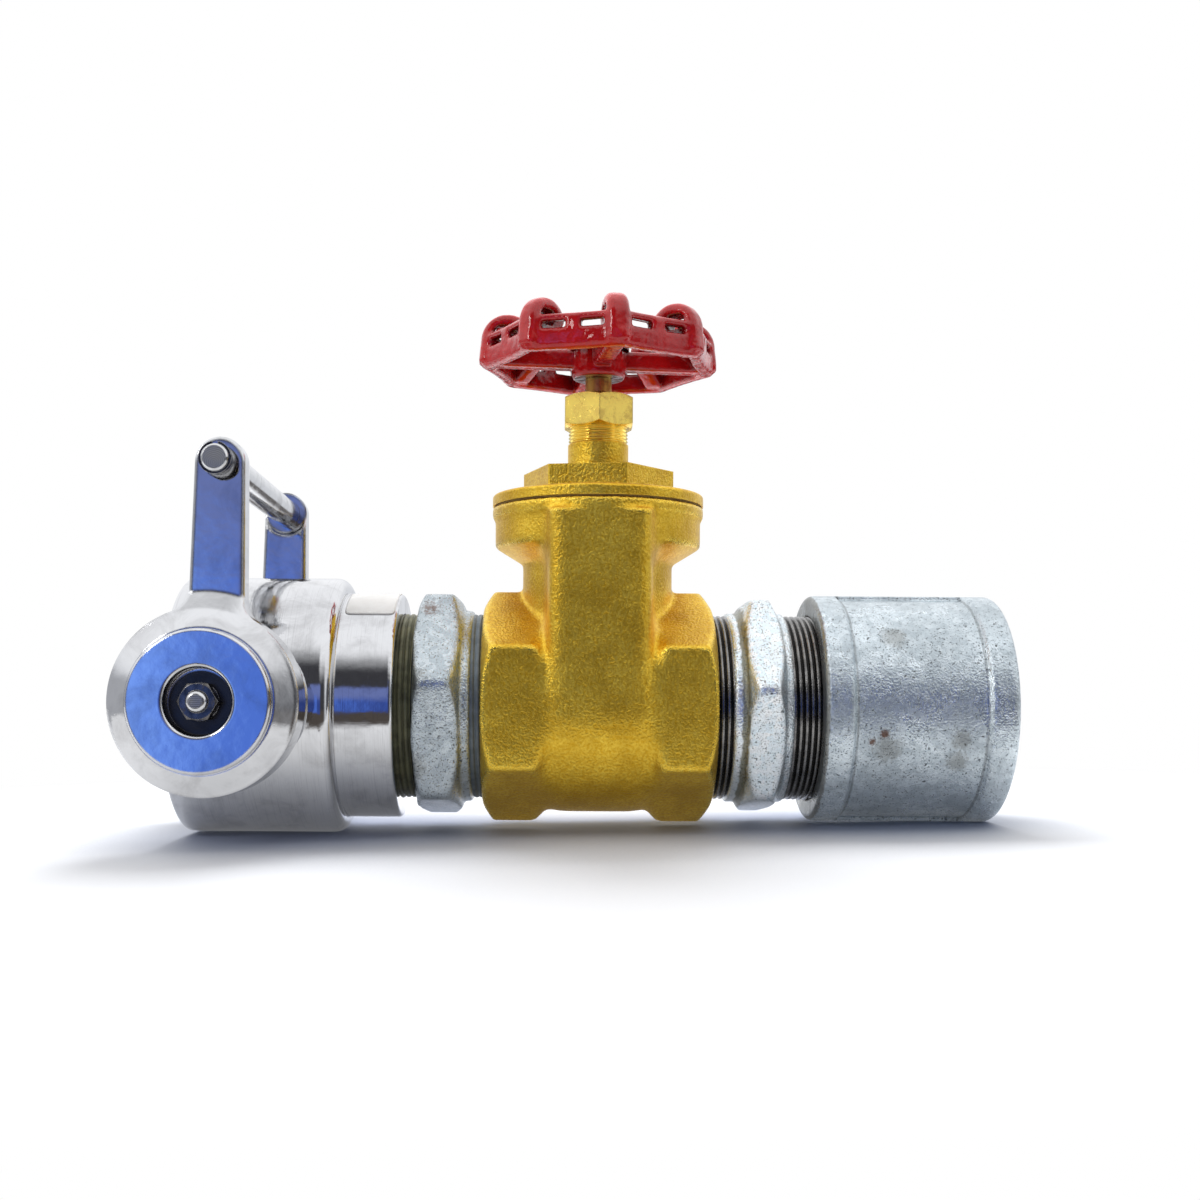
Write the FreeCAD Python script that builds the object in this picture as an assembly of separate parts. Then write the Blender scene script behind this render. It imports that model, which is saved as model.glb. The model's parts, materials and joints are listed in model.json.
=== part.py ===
import FreeCAD, Part
import math
import os

# Fire hose adapter: hose coupling, hex nipple, gate valve, hex nipple and pipe socket on one pipe axis.
# Millimetres. The origin is the centre of the socket's open end face. +X points out of the socket,
# +Z up the valve's stem, and -Y is the side with the front release arm.

# Pipe thread, size two and a half inches
thread_r = 37.59
thread_depth = 1.48
thread_pitch = 2.309
thread_clear = 0.04
waterway_wall = 5.59

# How far a cut runs past the face that it opens
over = 1.0

# Pipe socket
socket_len = 74.0
socket_wall = 6.61
socket_band_rise = 1.8
socket_band_w = 12.0
socket_engaged = 28.0
socket_rib_w = 8.5
socket_edge_round = 2.5
socket_band_step = 1.6

# Pipe nipple, from the socket to the valve
pipe_nipple_hex_wall = 2.91
pipe_nipple_hex_turn = 10.0
pipe_nipple_free_thread = 10.7
pipe_nipple_collar_a = 3.3
pipe_nipple_hex_len = 14.5
pipe_nipple_collar_b = 5.0
pipe_nipple_end_thread = 6.2
pipe_nipple_collar_rise = 1.01
nipple_corner_round = 5.0

# Coupling nipple, from the valve to the coupling
coupling_nipple_hex_wall = 3.91
coupling_nipple_hex_turn = 12.0
coupling_nipple_end_thread = 4.2
coupling_nipple_collar = 4.0
coupling_nipple_collar_rise = 1.41
coupling_nipple_hex_len = 18.5
coupling_nipple_free_thread = 6.1
sealant_dip = 0.6

# Gate valve body
valve_len = 92.0
valve_hex_wall = 3.41
valve_hex_len = 26.0
valve_hex_turn = 30.0
valve_corner_round = 1.6
valve_thread_depth = 20.0
port_r = 28.5
housing_half_x = 20.3
housing_r = 43.0
housing_round = 5.0
housing_root_wall = 3.01
housing_root_swell = 0.8
neck_r = 30.5
neck_blend = 7.0
neck_top_z = 58.0
cup_z = 65.0
cup_r = 41.9
flange_z = 76.5
flange_r = 43.1
flange_top_z = 81.0
cavity_half_x = 15.5
cavity_r = 35.5
seat_r = 30.7

# Gate wedge and its guides
wedge_r = 31.5
wedge_half_x = 11.0
wedge_angle = 4.0
seat_gap = 0.1
tongue_half_x = 2.4
tongue_top = 16.0
tongue_y = 34.2
tongue_root = 27.0
wedge_thread = 14.0
wedge_hollow_gap = 1.0
guide_gap = 0.25
guide_half_x = 6.0

# Bonnet and stuffing box
gasket_t = 0.6
gasket_recess = 0.7
skirt_r = 38.0
skirt_inner_r = 35.2
skirt_bottom_z = 70.0
bonnet_flange_top_z = 86.0
bonnet_edge_round = 1.2
bonnet_collar_r = 30.0
bonnet_collar_flare = 2.0
bonnet_hex_z = 88.0
bonnet_hex_af = 54.0
bonnet_hex_turn = -10.5
bonnet_corner_round = 0.8
bonnet_hex_top_z = 96.0
# Dome over the raised wedge: rise above its centre, and distance in from its radius
dome_skirt = 17.5
dome_steps = ((21.0, 4.3), (27.0, 10.3), (29.2, 13.1), (31.6, 16.5))
wedge_lift_gap = 2.0
stub_r = 12.4
stub_top_z = 108.0
stub_bevel = 0.8
gland_thread_r = 12.2
gland_thread_depth = 0.75
gland_pitch = 1.4
gland_thread_top_z = 121.0
gland_nut_z = 114.0
gland_nut_top_z = 127.0
gland_nut_af = 27.5
gland_nut_roof = 4.0
stuffing_r = 8.6
collar_z = 97.5
collar_t = 3.0
bush_t = 2.5
packing_t = 10.0
follower_flange_r = 10.8

# Stem
stem_r = 5.4
stem_clear = 0.06
stem_collar_r = 8.4
stem_bottom_z = 24.0
wheel_seat_z = 134.6
stem_square = 8.2

# Handwheel
loop_count = 8
spoke_count = 4
wheel_turn = 7.5
wheel_hub_r = 10.5
wheel_hub_top_z = 146.0
rim_corner_r = 48.6
rim_side_r = 43.8
rim_wall = 4.4
rim_corner_round = 5.0
rim_edge_round = 1.8
rim_bottom_z = 137.7
rim_top_z = 150.5
window_z = 145.0
window_top_z = 148.6
window_bar = 5.2
window_gap = 0.6
loop_t = 8.0
loop_top_z = 158.8
loop_centre_r = 37.5
loop_round_r = 10.5
loop_foot_r = 49.0
loop_waist_r = 32.0
loop_edge_round = 2.4
loop_crown = 4.4
loop_hole_r = 3.2
loop_hole_in = 34.2
loop_hole_w = 9.6
spoke_w = 6.5
spoke_z = 138.6
spoke_top_z = 145.4
wheel_washer_r = 12.5
wheel_washer_t = 1.5
wheel_nut_af = 17.0
wheel_nut_t = 6.0
wheel_nut_turn = 20.0
stem_top_proud = 2.0

# Hose coupling
coupling_neck_wall = 8.01
coupling_neck_len = 22.2
coupling_shoulder = 6.6
shoulder_round = 4.8
coupling_end_round = 1.6
barrel_r = 51.8
barrel_len = 57.5
coupling_thread_depth = 24.0
mouth_r = 40.0
mouth_lead_r = 43.0
mouth_lead_len = 4.0
mouth_depth = 38.0
seal_groove_r = 43.5
seal_w = 8.0
seal_inner_r = 35.0
hub_from_mouth = 20.5
coupling_roll = -1.5

# Latch plunger, measured outward from the pipe axis
nose_r = 7.5
nose_half_flat = 6.0
nose_tip = 34.0
latch_clear = 0.06
chamber_bottom = 46.0
plunger_shoulder_r = 9.2
plunger_shoulder_t = 2.5
plunger_stem_r = 4.0
plunger_tip_round = 1.9
plunger_stem_top = 78.0
chamber_r = 9.5
retainer_r = 10.3
retainer_bottom = 62.0
boss_top = 66.0
boss_r = 13.2
spring_r = 6.6
spring_wire_r = 0.75
spring_turns = 4.5

# Release cam and hub
release_lift = 6.0
release_angle = 42.0
cam_count = 3
cam_sector = 50.0
cam_inner_r = 13.8
cam_outer_r = 19.2
cam_low = 52.2
cam_gap = 0.3
cam_root = 8.0
pad_top = 52.0
hub_r = 34.8
hub_back = 52.8
hub_wall = 3.6
hub_pocket_r = 20.0
hub_pocket_top = 62.0
hub_floor = 67.0
hub_floor_t = 3.0
hub_shell_top = 63.5
hub_edge = 68.5
hub_edge_round = 1.2
hub_blend = 9.0
hub_disc_r = 26.2
hub_disc_root = 72.5
hub_disc_bevel = 0.8
hub_face = 76.0
hub_recess_r = 12.2
recess_lip = 1.5
hub_stem_gap = 0.3
washer_r = 7.0
washer_t = 1.2
plunger_nut_af = 13.0
plunger_nut_t = 4.5

# Release arm and cross rod
arm_in = 56.7
arm_t = 9.0
arm_w = 18.6
arm_root_w = 21.0
arm_foot_r = 40.5
arm_edge_round = 1.5
spot_r = 10.6
spot_depth = 1.8
rod_height = 88.0
arm_lean = 0.7
arm_offset = 3.4
rod_r = 6.0
rod_gap = 0.2
pin_r = 5.0
pin_proud = 8.4
pin_bevel = 0.8
clip_r = 6.0
clip_t = 1.0

vec = FreeCAD.Vector
axis_x = vec(1, 0, 0)
axis_y = vec(0, 1, 0)
axis_z = vec(0, 0, 1)

# Stations along the pipe axis
socket_back_x = -socket_len
pipe_hex_x = socket_back_x - pipe_nipple_free_thread - pipe_nipple_collar_a
valve_right_x = pipe_hex_x - pipe_nipple_hex_len - pipe_nipple_collar_b - pipe_nipple_end_thread
valve_x = valve_right_x - valve_len / 2
valve_left_x = valve_right_x - valve_len
coupling_hex_x = valve_left_x - coupling_nipple_end_thread - coupling_nipple_collar
coupling_x = coupling_hex_x - coupling_nipple_hex_len - coupling_nipple_free_thread
shoulder_x = coupling_x - coupling_neck_len
barrel_x = shoulder_x - coupling_shoulder
mouth_x = barrel_x - barrel_len
hub_x = mouth_x + hub_from_mouth

# Radii and hexagons that follow the pipe thread
thread_minor_r = thread_r - thread_depth
waterway_r = thread_r - waterway_wall
socket_r = thread_r + socket_wall
socket_band_r = socket_r + socket_band_rise
pipe_nipple_hex_af = 2 * (thread_r + pipe_nipple_hex_wall)
pipe_nipple_collar_r = thread_r + pipe_nipple_collar_rise
coupling_nipple_hex_af = 2 * (thread_r + coupling_nipple_hex_wall)
coupling_nipple_collar_r = thread_r + coupling_nipple_collar_rise
valve_hex_af = 2 * (thread_r + valve_hex_wall)
housing_root_r = thread_r + housing_root_wall
coupling_neck_r = thread_r + coupling_neck_wall

tongue_low = math.sqrt((cavity_r - 2 * guide_gap) ** 2 - tongue_y ** 2)
wedge_slope = math.tan(math.radians(wedge_angle))
cam_lead = release_lift * 360.0 / release_angle


def turned(points, axis):
    """Solid turned from (along, radius) points about the X or Z axis."""
    if axis == axis_x:
        corners = [vec(a, r, 0) for a, r in points]
    else:
        corners = [vec(r, 0, a) for a, r in points]
    corners.append(corners[0])
    face = Part.Face(Part.makePolygon(corners))
    return face.revolve(vec(0, 0, 0), axis, 360)


def rod(start, length, radius, axis):
    """Cylinder that starts at a distance along an axis through the origin."""
    return Part.makeCylinder(radius, length, axis * start, axis)


def tube(start, length, outer, inner, axis):
    return rod(start, length, outer, axis).cut(rod(start, length, inner, axis))


def block(x, y, z):
    """Box between pairs of limits."""
    return Part.makeBox(x[1] - x[0], y[1] - y[0], z[1] - z[0], vec(x[0], y[0], z[0]))


def hexagon(flats, start, length, axis, turn, corner=0):
    """Hexagonal prism with a corner at the turn angle from -Y (pipe axis) or from +X (stem axis)."""
    corner_r = flats / math.sqrt(3)
    corners = []
    for i in range(7):
        a = math.radians(turn + 60 * i)
        if axis == axis_x:
            corners.append(vec(start, -corner_r * math.cos(a), corner_r * math.sin(a)))
        else:
            corners.append(vec(corner_r * math.cos(a), corner_r * math.sin(a), start))
    prism = Part.Face(Part.makePolygon(corners)).extrude(axis * length)
    if corner:
        ridges = [e for e in prism.Edges if e.tangentAt(e.FirstParameter).cross(axis).Length < 0.01]
        prism = prism.makeFillet(corner, ridges)
    return prism


def round_rim(body, axis, along, radius, size):
    """Round the circular edge of a turned body at a place along its axis."""
    rims = []
    for e in body.Edges:
        if isinstance(e.Curve, Part.Circle) and abs(e.Curve.Radius - radius) < 0.001:
            if abs(e.Curve.Center.dot(axis) - along) < 0.001:
                rims.append(e)
    return body.makeFillet(size, rims)


def chamfered_hexagon(flats, start, length, axis, turn, low=True, high=True, corner=0):
    """Hexagonal prism whose corners are turned off at thirty degrees at the chosen ends."""
    flat_r = flats / 2 * 0.985
    corner_r = flats / math.sqrt(3) * 1.001
    drop = (corner_r - flat_r) * math.tan(math.radians(30))
    end = start + length
    low_r = flat_r if low else corner_r
    high_r = flat_r if high else corner_r
    points = [(start, 0), (start, low_r), (start + drop, corner_r)]
    points += [(end - drop, corner_r), (end, high_r), (end, 0)]
    return hexagon(flats, start, length, axis, turn, corner).common(turned(points, axis))


def thread_points(start, length):
    """Outline of a length of ringed pipe thread, from one end to the other."""
    count = int(abs(length) / thread_pitch)
    step = length / count
    points = []
    for i in range(count):
        points.append((start + step * (i + 0.08), thread_r))
        points.append((start + step * (i + 0.5), thread_minor_r))
        points.append((start + step * (i + 0.92), thread_r))
    return points


def largest(shape):
    """The one solid of a shape that a cut may have returned as a compound."""
    return max(shape.Solids, key=lambda s: s.Volume)


def pipe_socket():
    start = -socket_len
    edge = socket_edge_round
    points = [(start, 0), (start, socket_band_r)]
    points += [(start + socket_band_w - socket_band_step, socket_band_r), (start + socket_band_w, socket_r)]
    points += [(-socket_band_w, socket_r), (-socket_band_w + socket_band_step, socket_band_r)]
    points += [(0, socket_band_r), (0, 0)]
    body = turned(points, axis_x)
    for end in (start, 0):
        body = round_rim(body, axis_x, end, socket_band_r, edge)
    half = socket_rib_w / 2
    rib = block((start + edge, -edge), (-half, half), (-socket_band_r - over, socket_band_r + over))
    body = body.fuse(rib.common(rod(start, socket_len, socket_band_r, axis_x)))
    body = body.cut(rod(start - over, socket_len + 2 * over, thread_minor_r, axis_x))
    body = body.cut(rod(start - over, socket_engaged + over, thread_r + thread_clear, axis_x))
    return body.removeSplitter()


def pipe_nipple():
    right_end = socket_back_x + socket_engaged
    hex_left = pipe_hex_x - pipe_nipple_hex_len
    collar_left = hex_left - pipe_nipple_collar_b
    left_end = valve_right_x - valve_thread_depth
    free_end = pipe_hex_x + pipe_nipple_collar_a
    points = [(left_end, waterway_r), (left_end, thread_r), (valve_right_x, thread_r)]
    points += thread_points(valve_right_x, pipe_nipple_end_thread)
    points += [(collar_left, thread_r), (collar_left, pipe_nipple_collar_r)]
    points += [(free_end, pipe_nipple_collar_r), (free_end, thread_r)]
    points += thread_points(free_end, pipe_nipple_free_thread)
    points += [(socket_back_x, thread_r), (right_end, thread_r), (right_end, waterway_r)]
    body = turned(points, axis_x)
    nut = chamfered_hexagon(pipe_nipple_hex_af, hex_left, pipe_nipple_hex_len, axis_x, pipe_nipple_hex_turn,
                            corner=nipple_corner_round)
    nut = nut.cut(rod(hex_left - over, pipe_nipple_hex_len + 2 * over, thread_minor_r, axis_x))
    return body.fuse(nut).removeSplitter()


def coupling_nipple():
    right_end = valve_left_x + valve_thread_depth
    left_end = coupling_x - coupling_thread_depth
    hex_left = coupling_hex_x - coupling_nipple_hex_len
    collar_right = coupling_hex_x + coupling_nipple_collar
    seal_root_r = thread_r - sealant_dip
    points = [(left_end, waterway_r), (left_end, thread_r), (coupling_x, thread_r)]
    points += thread_points(coupling_x, coupling_nipple_free_thread)
    points += [(hex_left, coupling_nipple_collar_r), (collar_right, coupling_nipple_collar_r)]
    points += [(collar_right, seal_root_r), (valve_left_x - sealant_dip, seal_root_r)]
    points += [(valve_left_x, thread_r)]
    points += [(right_end, thread_r), (right_end, waterway_r)]
    body = turned(points, axis_x)
    nut = chamfered_hexagon(coupling_nipple_hex_af, hex_left, coupling_nipple_hex_len, axis_x,
                            coupling_nipple_hex_turn, corner=nipple_corner_round)
    nut = nut.cut(rod(hex_left - over, coupling_nipple_hex_len + 2 * over, thread_minor_r, axis_x))
    return body.fuse(nut).removeSplitter()


def housing(half_x, radius, top):
    """Upright U-shaped block about the pipe axis."""
    left = vec(0, -radius, 0)
    right = vec(0, radius, 0)
    bottom = Part.Arc(left, vec(0, 0, -radius), right).toShape()
    side_a = Part.makeLine(right, vec(0, radius, top))
    lid = Part.makeLine(vec(0, radius, top), vec(0, -radius, top))
    side_b = Part.makeLine(vec(0, -radius, top), left)
    face = Part.Face(Part.Wire([bottom, side_a, lid, side_b]))
    face.translate(vec(-half_x, 0, 0))
    return face.extrude(axis_x * (2 * half_x))


def wedge_core(radius, spread):
    """Disc about the pipe axis between two leaning faces, wider at the top."""
    reach = radius + over
    low = wedge_half_x + spread - reach * wedge_slope
    high = wedge_half_x + spread + reach * wedge_slope
    corners = [vec(-low, 0, -reach), vec(low, 0, -reach), vec(high, 0, reach), vec(-high, 0, reach)]
    corners.append(corners[0])
    keystone = Part.Face(Part.makePolygon(corners)).extrude(axis_y * (2 * reach))
    keystone.translate(axis_y * -reach)
    return rod(-high, 2 * high, radius, axis_x).common(keystone)


def valve_body():
    half = valve_len / 2
    body = housing(housing_half_x, housing_r, flange_z)
    front_edges = [e for e in body.Edges if abs(abs(e.CenterOfMass.x) - housing_half_x) < 0.01
                   and e.BoundBox.ZLength > housing_r / 2]
    body = body.makeFillet(housing_round, front_edges)
    neck = [(0, 0), (0, neck_r), (neck_top_z, neck_r), (cup_z, cup_r), (flange_z, cup_r), (flange_z, 0)]
    body = body.fuse(turned(neck, axis_z)).removeSplitter()
    corners = [e for e in body.Edges if abs(abs(e.CenterOfMass.x) - housing_half_x) < 0.01
               and e.BoundBox.ZMax < cup_z + 0.1 and abs(e.CenterOfMass.y) < neck_r and e.CenterOfMass.z > 1]
    body = body.makeFillet(neck_blend, corners)
    body = body.fuse(rod(flange_z, flange_top_z - flange_z, flange_r, axis_z))
    inner = half - valve_hex_len
    right = chamfered_hexagon(valve_hex_af, inner, valve_hex_len, axis_x, valve_hex_turn,
                              corner=valve_corner_round)
    left = right.mirror(vec(0, 0, 0), axis_x)
    root = hexagon(2 * housing_root_r, -inner - over, 2 * (inner + over), axis_x, valve_hex_turn)
    root = root.common(rod(-inner - over, 2 * (inner + over), housing_root_r + housing_root_swell, axis_x))
    body = body.fuse([left, right, root])
    cavity = housing(cavity_half_x, cavity_r, skirt_bottom_z + over)
    for seat_side in (-1, 1):
        seat = tube(0, cavity_half_x + over, seat_r, port_r - over, axis_x * seat_side)
        cavity = cavity.cut(seat)
    cavity = cavity.fuse(wedge_core((seat_r + wedge_r) / 2, seat_gap))
    for side in (-1, 1):
        near = wedge_r + guide_gap
        y = sorted((side * near, side * (cavity_r + over)))
        z = (-cavity_r, skirt_bottom_z)
        slot = tongue_half_x + guide_gap
        guides = block((-guide_half_x, guide_half_x), y, z)
        guides = guides.cut(block((-slot, slot), y, z))
        guides = guides.cut(rod(-2 * guide_half_x, 4 * guide_half_x, near, axis_x))
        cavity = cavity.cut(guides)
    mouth = rod(skirt_bottom_z, flange_top_z - skirt_bottom_z + over, skirt_r + thread_clear, axis_z)
    cavity = cavity.fuse(mouth)
    cavity = cavity.fuse(rod(-half, valve_len, port_r, axis_x))
    for end in (-1, 1):
        inlet = rod(half - valve_thread_depth, valve_thread_depth, thread_r + thread_clear, axis_x * end)
        cavity = cavity.fuse(inlet)
    body = largest(body.cut(cavity))
    body.translate(vec(valve_x, 0, 0))
    return body.removeSplitter()


def gate_wedge():
    body = wedge_core(wedge_r, 0)
    for side in (-1, 1):
        y = sorted((side * tongue_root, side * tongue_y))
        tongue = block((-tongue_half_x, tongue_half_x), y, (-tongue_low, tongue_top))
        body = body.fuse(tongue)
    thread_bottom = wedge_r - wedge_thread
    body = body.cut(rod(thread_bottom - over, 2 * wedge_r, stem_r + stem_clear, axis_z))
    body = body.cut(rod(-wedge_r - over, thread_bottom + wedge_r + over, stem_r + wedge_hollow_gap, axis_z))
    body.translate(vec(valve_x, 0, 0))
    return largest(body).removeSplitter()


def bonnet_gasket():
    ring = tube(flange_top_z, gasket_t, flange_r - gasket_recess, skirt_r + thread_clear, axis_z)
    ring.translate(vec(valve_x, 0, 0))
    return ring


def bonnet():
    seat_z = flange_top_z + gasket_t
    root_r = gland_thread_r - gland_thread_depth
    points = [(skirt_bottom_z, 0), (skirt_bottom_z, skirt_r), (seat_z, skirt_r)]
    points += [(seat_z, flange_r), (bonnet_flange_top_z, flange_r)]
    points += [(bonnet_flange_top_z, bonnet_collar_r + bonnet_collar_flare)]
    points += [(bonnet_hex_z, bonnet_collar_r), (bonnet_hex_z, stub_r), (stub_top_z - stub_bevel, stub_r)]
    points += [(stub_top_z, root_r)]
    turns = int((gland_nut_z - stub_top_z) / gland_pitch)
    for i in range(turns):
        foot = stub_top_z + gland_pitch * i
        points += [(foot + gland_pitch / 2, gland_thread_r), (foot + gland_pitch, root_r)]
    points += [(gland_nut_z, gland_thread_r), (gland_thread_top_z, gland_thread_r), (gland_thread_top_z, 0)]
    body = round_rim(turned(points, axis_z), axis_z, bonnet_flange_top_z, flange_r, bonnet_edge_round)
    hex_t = bonnet_hex_top_z - bonnet_hex_z
    top = hexagon(bonnet_hex_af, bonnet_hex_z - over, hex_t + over, axis_z, bonnet_hex_turn,
                  corner=bonnet_corner_round)
    body = body.fuse(top)
    lift_z = 2 * wedge_r - wedge_lift_gap
    dome = [(skirt_bottom_z, 0), (skirt_bottom_z, skirt_inner_r), (lift_z + dome_skirt, skirt_inner_r)]
    dome += [(lift_z + rise, wedge_r - inset) for rise, inset in dome_steps]
    dome += [(lift_z + dome_steps[-1][0], 0)]
    body = body.cut(turned(dome, axis_z))
    body = body.cut(rod(skirt_bottom_z, collar_z - skirt_bottom_z, stem_r + stem_clear, axis_z))
    body = body.cut(rod(collar_z, gland_thread_top_z, stuffing_r, axis_z))
    body.translate(vec(valve_x, 0, 0))
    return body.removeSplitter()


def stem():
    top = wheel_hub_top_z + wheel_washer_t + wheel_nut_t + stem_top_proud
    body = rod(stem_bottom_z, wheel_hub_top_z - stem_bottom_z, stem_r, axis_z)
    flats = block((-stem_square / 2, stem_square / 2), (-stem_square / 2, stem_square / 2),
                  (wheel_seat_z, wheel_hub_top_z))
    tip = rod(wheel_seat_z, wheel_hub_top_z - wheel_seat_z, stem_r + 1, axis_z).cut(flats)
    tip.rotate(vec(0, 0, 0), axis_z, wheel_turn)
    body = body.cut(tip)
    body = body.fuse(rod(wheel_hub_top_z, top - wheel_hub_top_z, stem_square / 2, axis_z))
    body = body.fuse(rod(collar_z, collar_t, stem_collar_r, axis_z))
    body.translate(vec(valve_x, 0, 0))
    return body.removeSplitter()


def gland_pieces():
    bush_z = collar_z + collar_t
    packing_z = bush_z + bush_t
    follower_z = packing_z + packing_t
    roof_z = gland_nut_top_z - gland_nut_roof
    hole_r = stem_r + stem_clear
    bush = tube(bush_z, bush_t, stuffing_r, hole_r, axis_z)
    packing = tube(packing_z, packing_t, stuffing_r, hole_r, axis_z)
    follower = rod(follower_z, roof_z - follower_z, stuffing_r - thread_clear, axis_z)
    follower = follower.fuse(rod(gland_thread_top_z, roof_z - gland_thread_top_z, follower_flange_r, axis_z))
    follower = follower.cut(rod(0, gland_nut_top_z, hole_r, axis_z))
    nut = chamfered_hexagon(gland_nut_af, gland_nut_z, gland_nut_top_z - gland_nut_z, axis_z, 30)
    nut = nut.cut(rod(0, roof_z, gland_thread_r + thread_clear, axis_z))
    nut = nut.cut(rod(0, gland_nut_top_z + 1, hole_r + 0.4, axis_z))
    pieces = {"thrust_bush": bush, "gland_packing": packing, "gland_follower": follower, "gland_nut": nut}
    for shape in pieces.values():
        shape.translate(vec(valve_x, 0, 0))
    return pieces


def finger_loop():
    """One loop of the handwheel, standing in the plane of +X and Z."""
    top_z = loop_top_z
    centre_z = top_z - loop_round_r
    foot = vec(loop_foot_r, 0, rim_bottom_z + rim_edge_round)
    outer = vec(loop_centre_r + loop_round_r, 0, centre_z)
    crown = vec(loop_centre_r, 0, top_z)
    inner = vec(loop_centre_r - loop_round_r * 0.94, 0, centre_z + loop_round_r * 0.34)
    waist = vec(loop_waist_r, 0, window_z - window_gap)
    heel = vec(rim_side_r - rim_wall, 0, rim_bottom_z + over)
    edges = [Part.makeLine(foot, outer), Part.Arc(outer, crown, inner).toShape()]
    edges += [Part.makeLine(inner, waist), Part.makeLine(waist, heel), Part.makeLine(heel, foot)]
    plate = Part.Face(Part.Wire(edges)).extrude(axis_y * loop_t)
    plate.translate(axis_y * (-loop_t / 2))
    crests = [e for e in plate.Edges if abs(abs(e.CenterOfMass.y) - loop_t / 2) < 0.01
              and e.CenterOfMass.z > rim_bottom_z + 2 * over]
    plate = plate.makeFillet(loop_edge_round, crests)
    hole_z = loop_top_z - loop_crown - loop_hole_r
    hole = block((loop_hole_in, loop_hole_in + loop_hole_w), (-loop_t, loop_t),
                 (hole_z - loop_hole_r, hole_z + loop_hole_r))
    ends = [e for e in hole.Edges if e.BoundBox.YLength > loop_t]
    return plate.cut(hole.makeFillet(loop_hole_r * 0.98, ends))


def scalloped_disc(inset, low, high):
    """Disc with a rounded corner at each loop and a hollow side between two."""
    corner_r = rim_corner_r - inset
    side_r = rim_side_r - inset
    sides = []
    for i in range(loop_count):
        ends = []
        for turn, radius in ((i, corner_r), (i + 0.5, side_r), (i + 1, corner_r)):
            a = 2 * math.pi * turn / loop_count
            ends.append(vec(radius * math.cos(a), radius * math.sin(a), low))
        sides.append(Part.Arc(ends[0], ends[1], ends[2]).toShape())
    disc = Part.Face(Part.Wire(sides)).extrude(axis_z * (high - low))
    return disc.makeFillet(rim_corner_round, [e for e in disc.Edges if e.BoundBox.ZLength > over])


def wheel_rim():
    rim = scalloped_disc(0, rim_bottom_z, rim_top_z)
    rim = rim.makeFillet(rim_edge_round, [e for e in rim.Edges if e.BoundBox.ZLength < over])
    return rim.cut(scalloped_disc(rim_wall, rim_bottom_z - over, rim_top_z + over))


def handwheel():
    body = wheel_rim()
    step = 360.0 / loop_count
    near = math.degrees((loop_t / 2 + window_gap) / rim_side_r)
    far = step / 2 - math.degrees(window_bar / 2 / rim_side_r)
    inside = rim_side_r - rim_wall - over
    outside = loop_foot_r + over
    sweep = [vec(inside, 0, window_z), vec(outside, 0, window_z)]
    sweep += [vec(outside, 0, window_top_z), vec(inside, 0, window_top_z)]
    sweep.append(sweep[0])
    window = Part.Face(Part.makePolygon(sweep)).revolve(vec(0, 0, 0), axis_z, far - near)
    loop = finger_loop()
    for i in range(loop_count):
        for start in (near, -far):
            cutter = window.copy()
            cutter.rotate(vec(0, 0, 0), axis_z, i * step + start)
            body = body.cut(cutter)
    for i in range(loop_count):
        grip = loop.copy()
        grip.rotate(vec(0, 0, 0), axis_z, i * step)
        body = body.fuse(grip)
    for i in range(spoke_count):
        spoke = block((0, rim_corner_r - rim_wall), (-spoke_w / 2, spoke_w / 2), (spoke_z, spoke_top_z))
        spoke.rotate(vec(0, 0, 0), axis_z, i * 360.0 / spoke_count)
        body = body.fuse(spoke)
    hub = [(wheel_seat_z, 0), (wheel_seat_z, wheel_hub_r - 1), (wheel_seat_z + 1, wheel_hub_r)]
    hub += [(wheel_hub_top_z, wheel_hub_r), (wheel_hub_top_z, 0)]
    body = body.fuse(turned(hub, axis_z))
    half = stem_square / 2
    square = block((-half, half), (-half, half), (wheel_seat_z - over, wheel_hub_top_z + over))
    bore = rod(wheel_seat_z - over, wheel_hub_top_z - wheel_seat_z + 2 * over, stem_r, axis_z)
    body = body.cut(square.common(bore))
    body.rotate(vec(0, 0, 0), axis_z, wheel_turn - 90)
    body.translate(vec(valve_x, 0, 0))
    return largest(body).removeSplitter()


def wheel_fixings():
    bore_r = stem_square / 2 + thread_clear
    washer = tube(wheel_hub_top_z, wheel_washer_t, wheel_washer_r, bore_r, axis_z)
    nut_z = wheel_hub_top_z + wheel_washer_t
    nut = chamfered_hexagon(wheel_nut_af, nut_z, wheel_nut_t, axis_z, wheel_nut_turn, low=False)
    nut = nut.cut(rod(wheel_hub_top_z, 2 * (wheel_washer_t + wheel_nut_t), bore_r, axis_z))
    for shape in (washer, nut):
        shape.translate(vec(valve_x, 0, 0))
    return {"wheel_washer": washer, "wheel_nut": nut}


def to_front(shape):
    """Move a piece from the hub's own frame (+Z outward, +Y up) to the front side of the coupling."""
    placed = shape.copy()
    placed.rotate(vec(0, 0, 0), axis_x, 90)
    placed.translate(vec(hub_x, 0, 0))
    return placed


def helix_ramp(low, height):
    """Ring sector whose lower or upper face climbs one cam sector, clockwise seen from outside."""
    climb = cam_lead * cam_sector / 360.0
    inner = Part.makeHelix(cam_lead, climb, cam_inner_r, 0, True).Edges[0]
    outer = Part.makeHelix(cam_lead, climb, cam_outer_r, 0, True).Edges[0]
    ramp = Part.makeRuledSurface(inner, outer).extrude(axis_z * height)
    solid = Part.Solid(Part.Shell(ramp.Faces)) if not ramp.Solids else ramp.Solids[0]
    solid.translate(axis_z * low)
    return solid


def cam_ring(low, height):
    ramps = []
    for i in range(cam_count):
        ramp = helix_ramp(low, height)
        ramp.rotate(vec(0, 0, 0), axis_z, i * 360.0 / cam_count)
        ramps.append(ramp)
    return ramps


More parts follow.
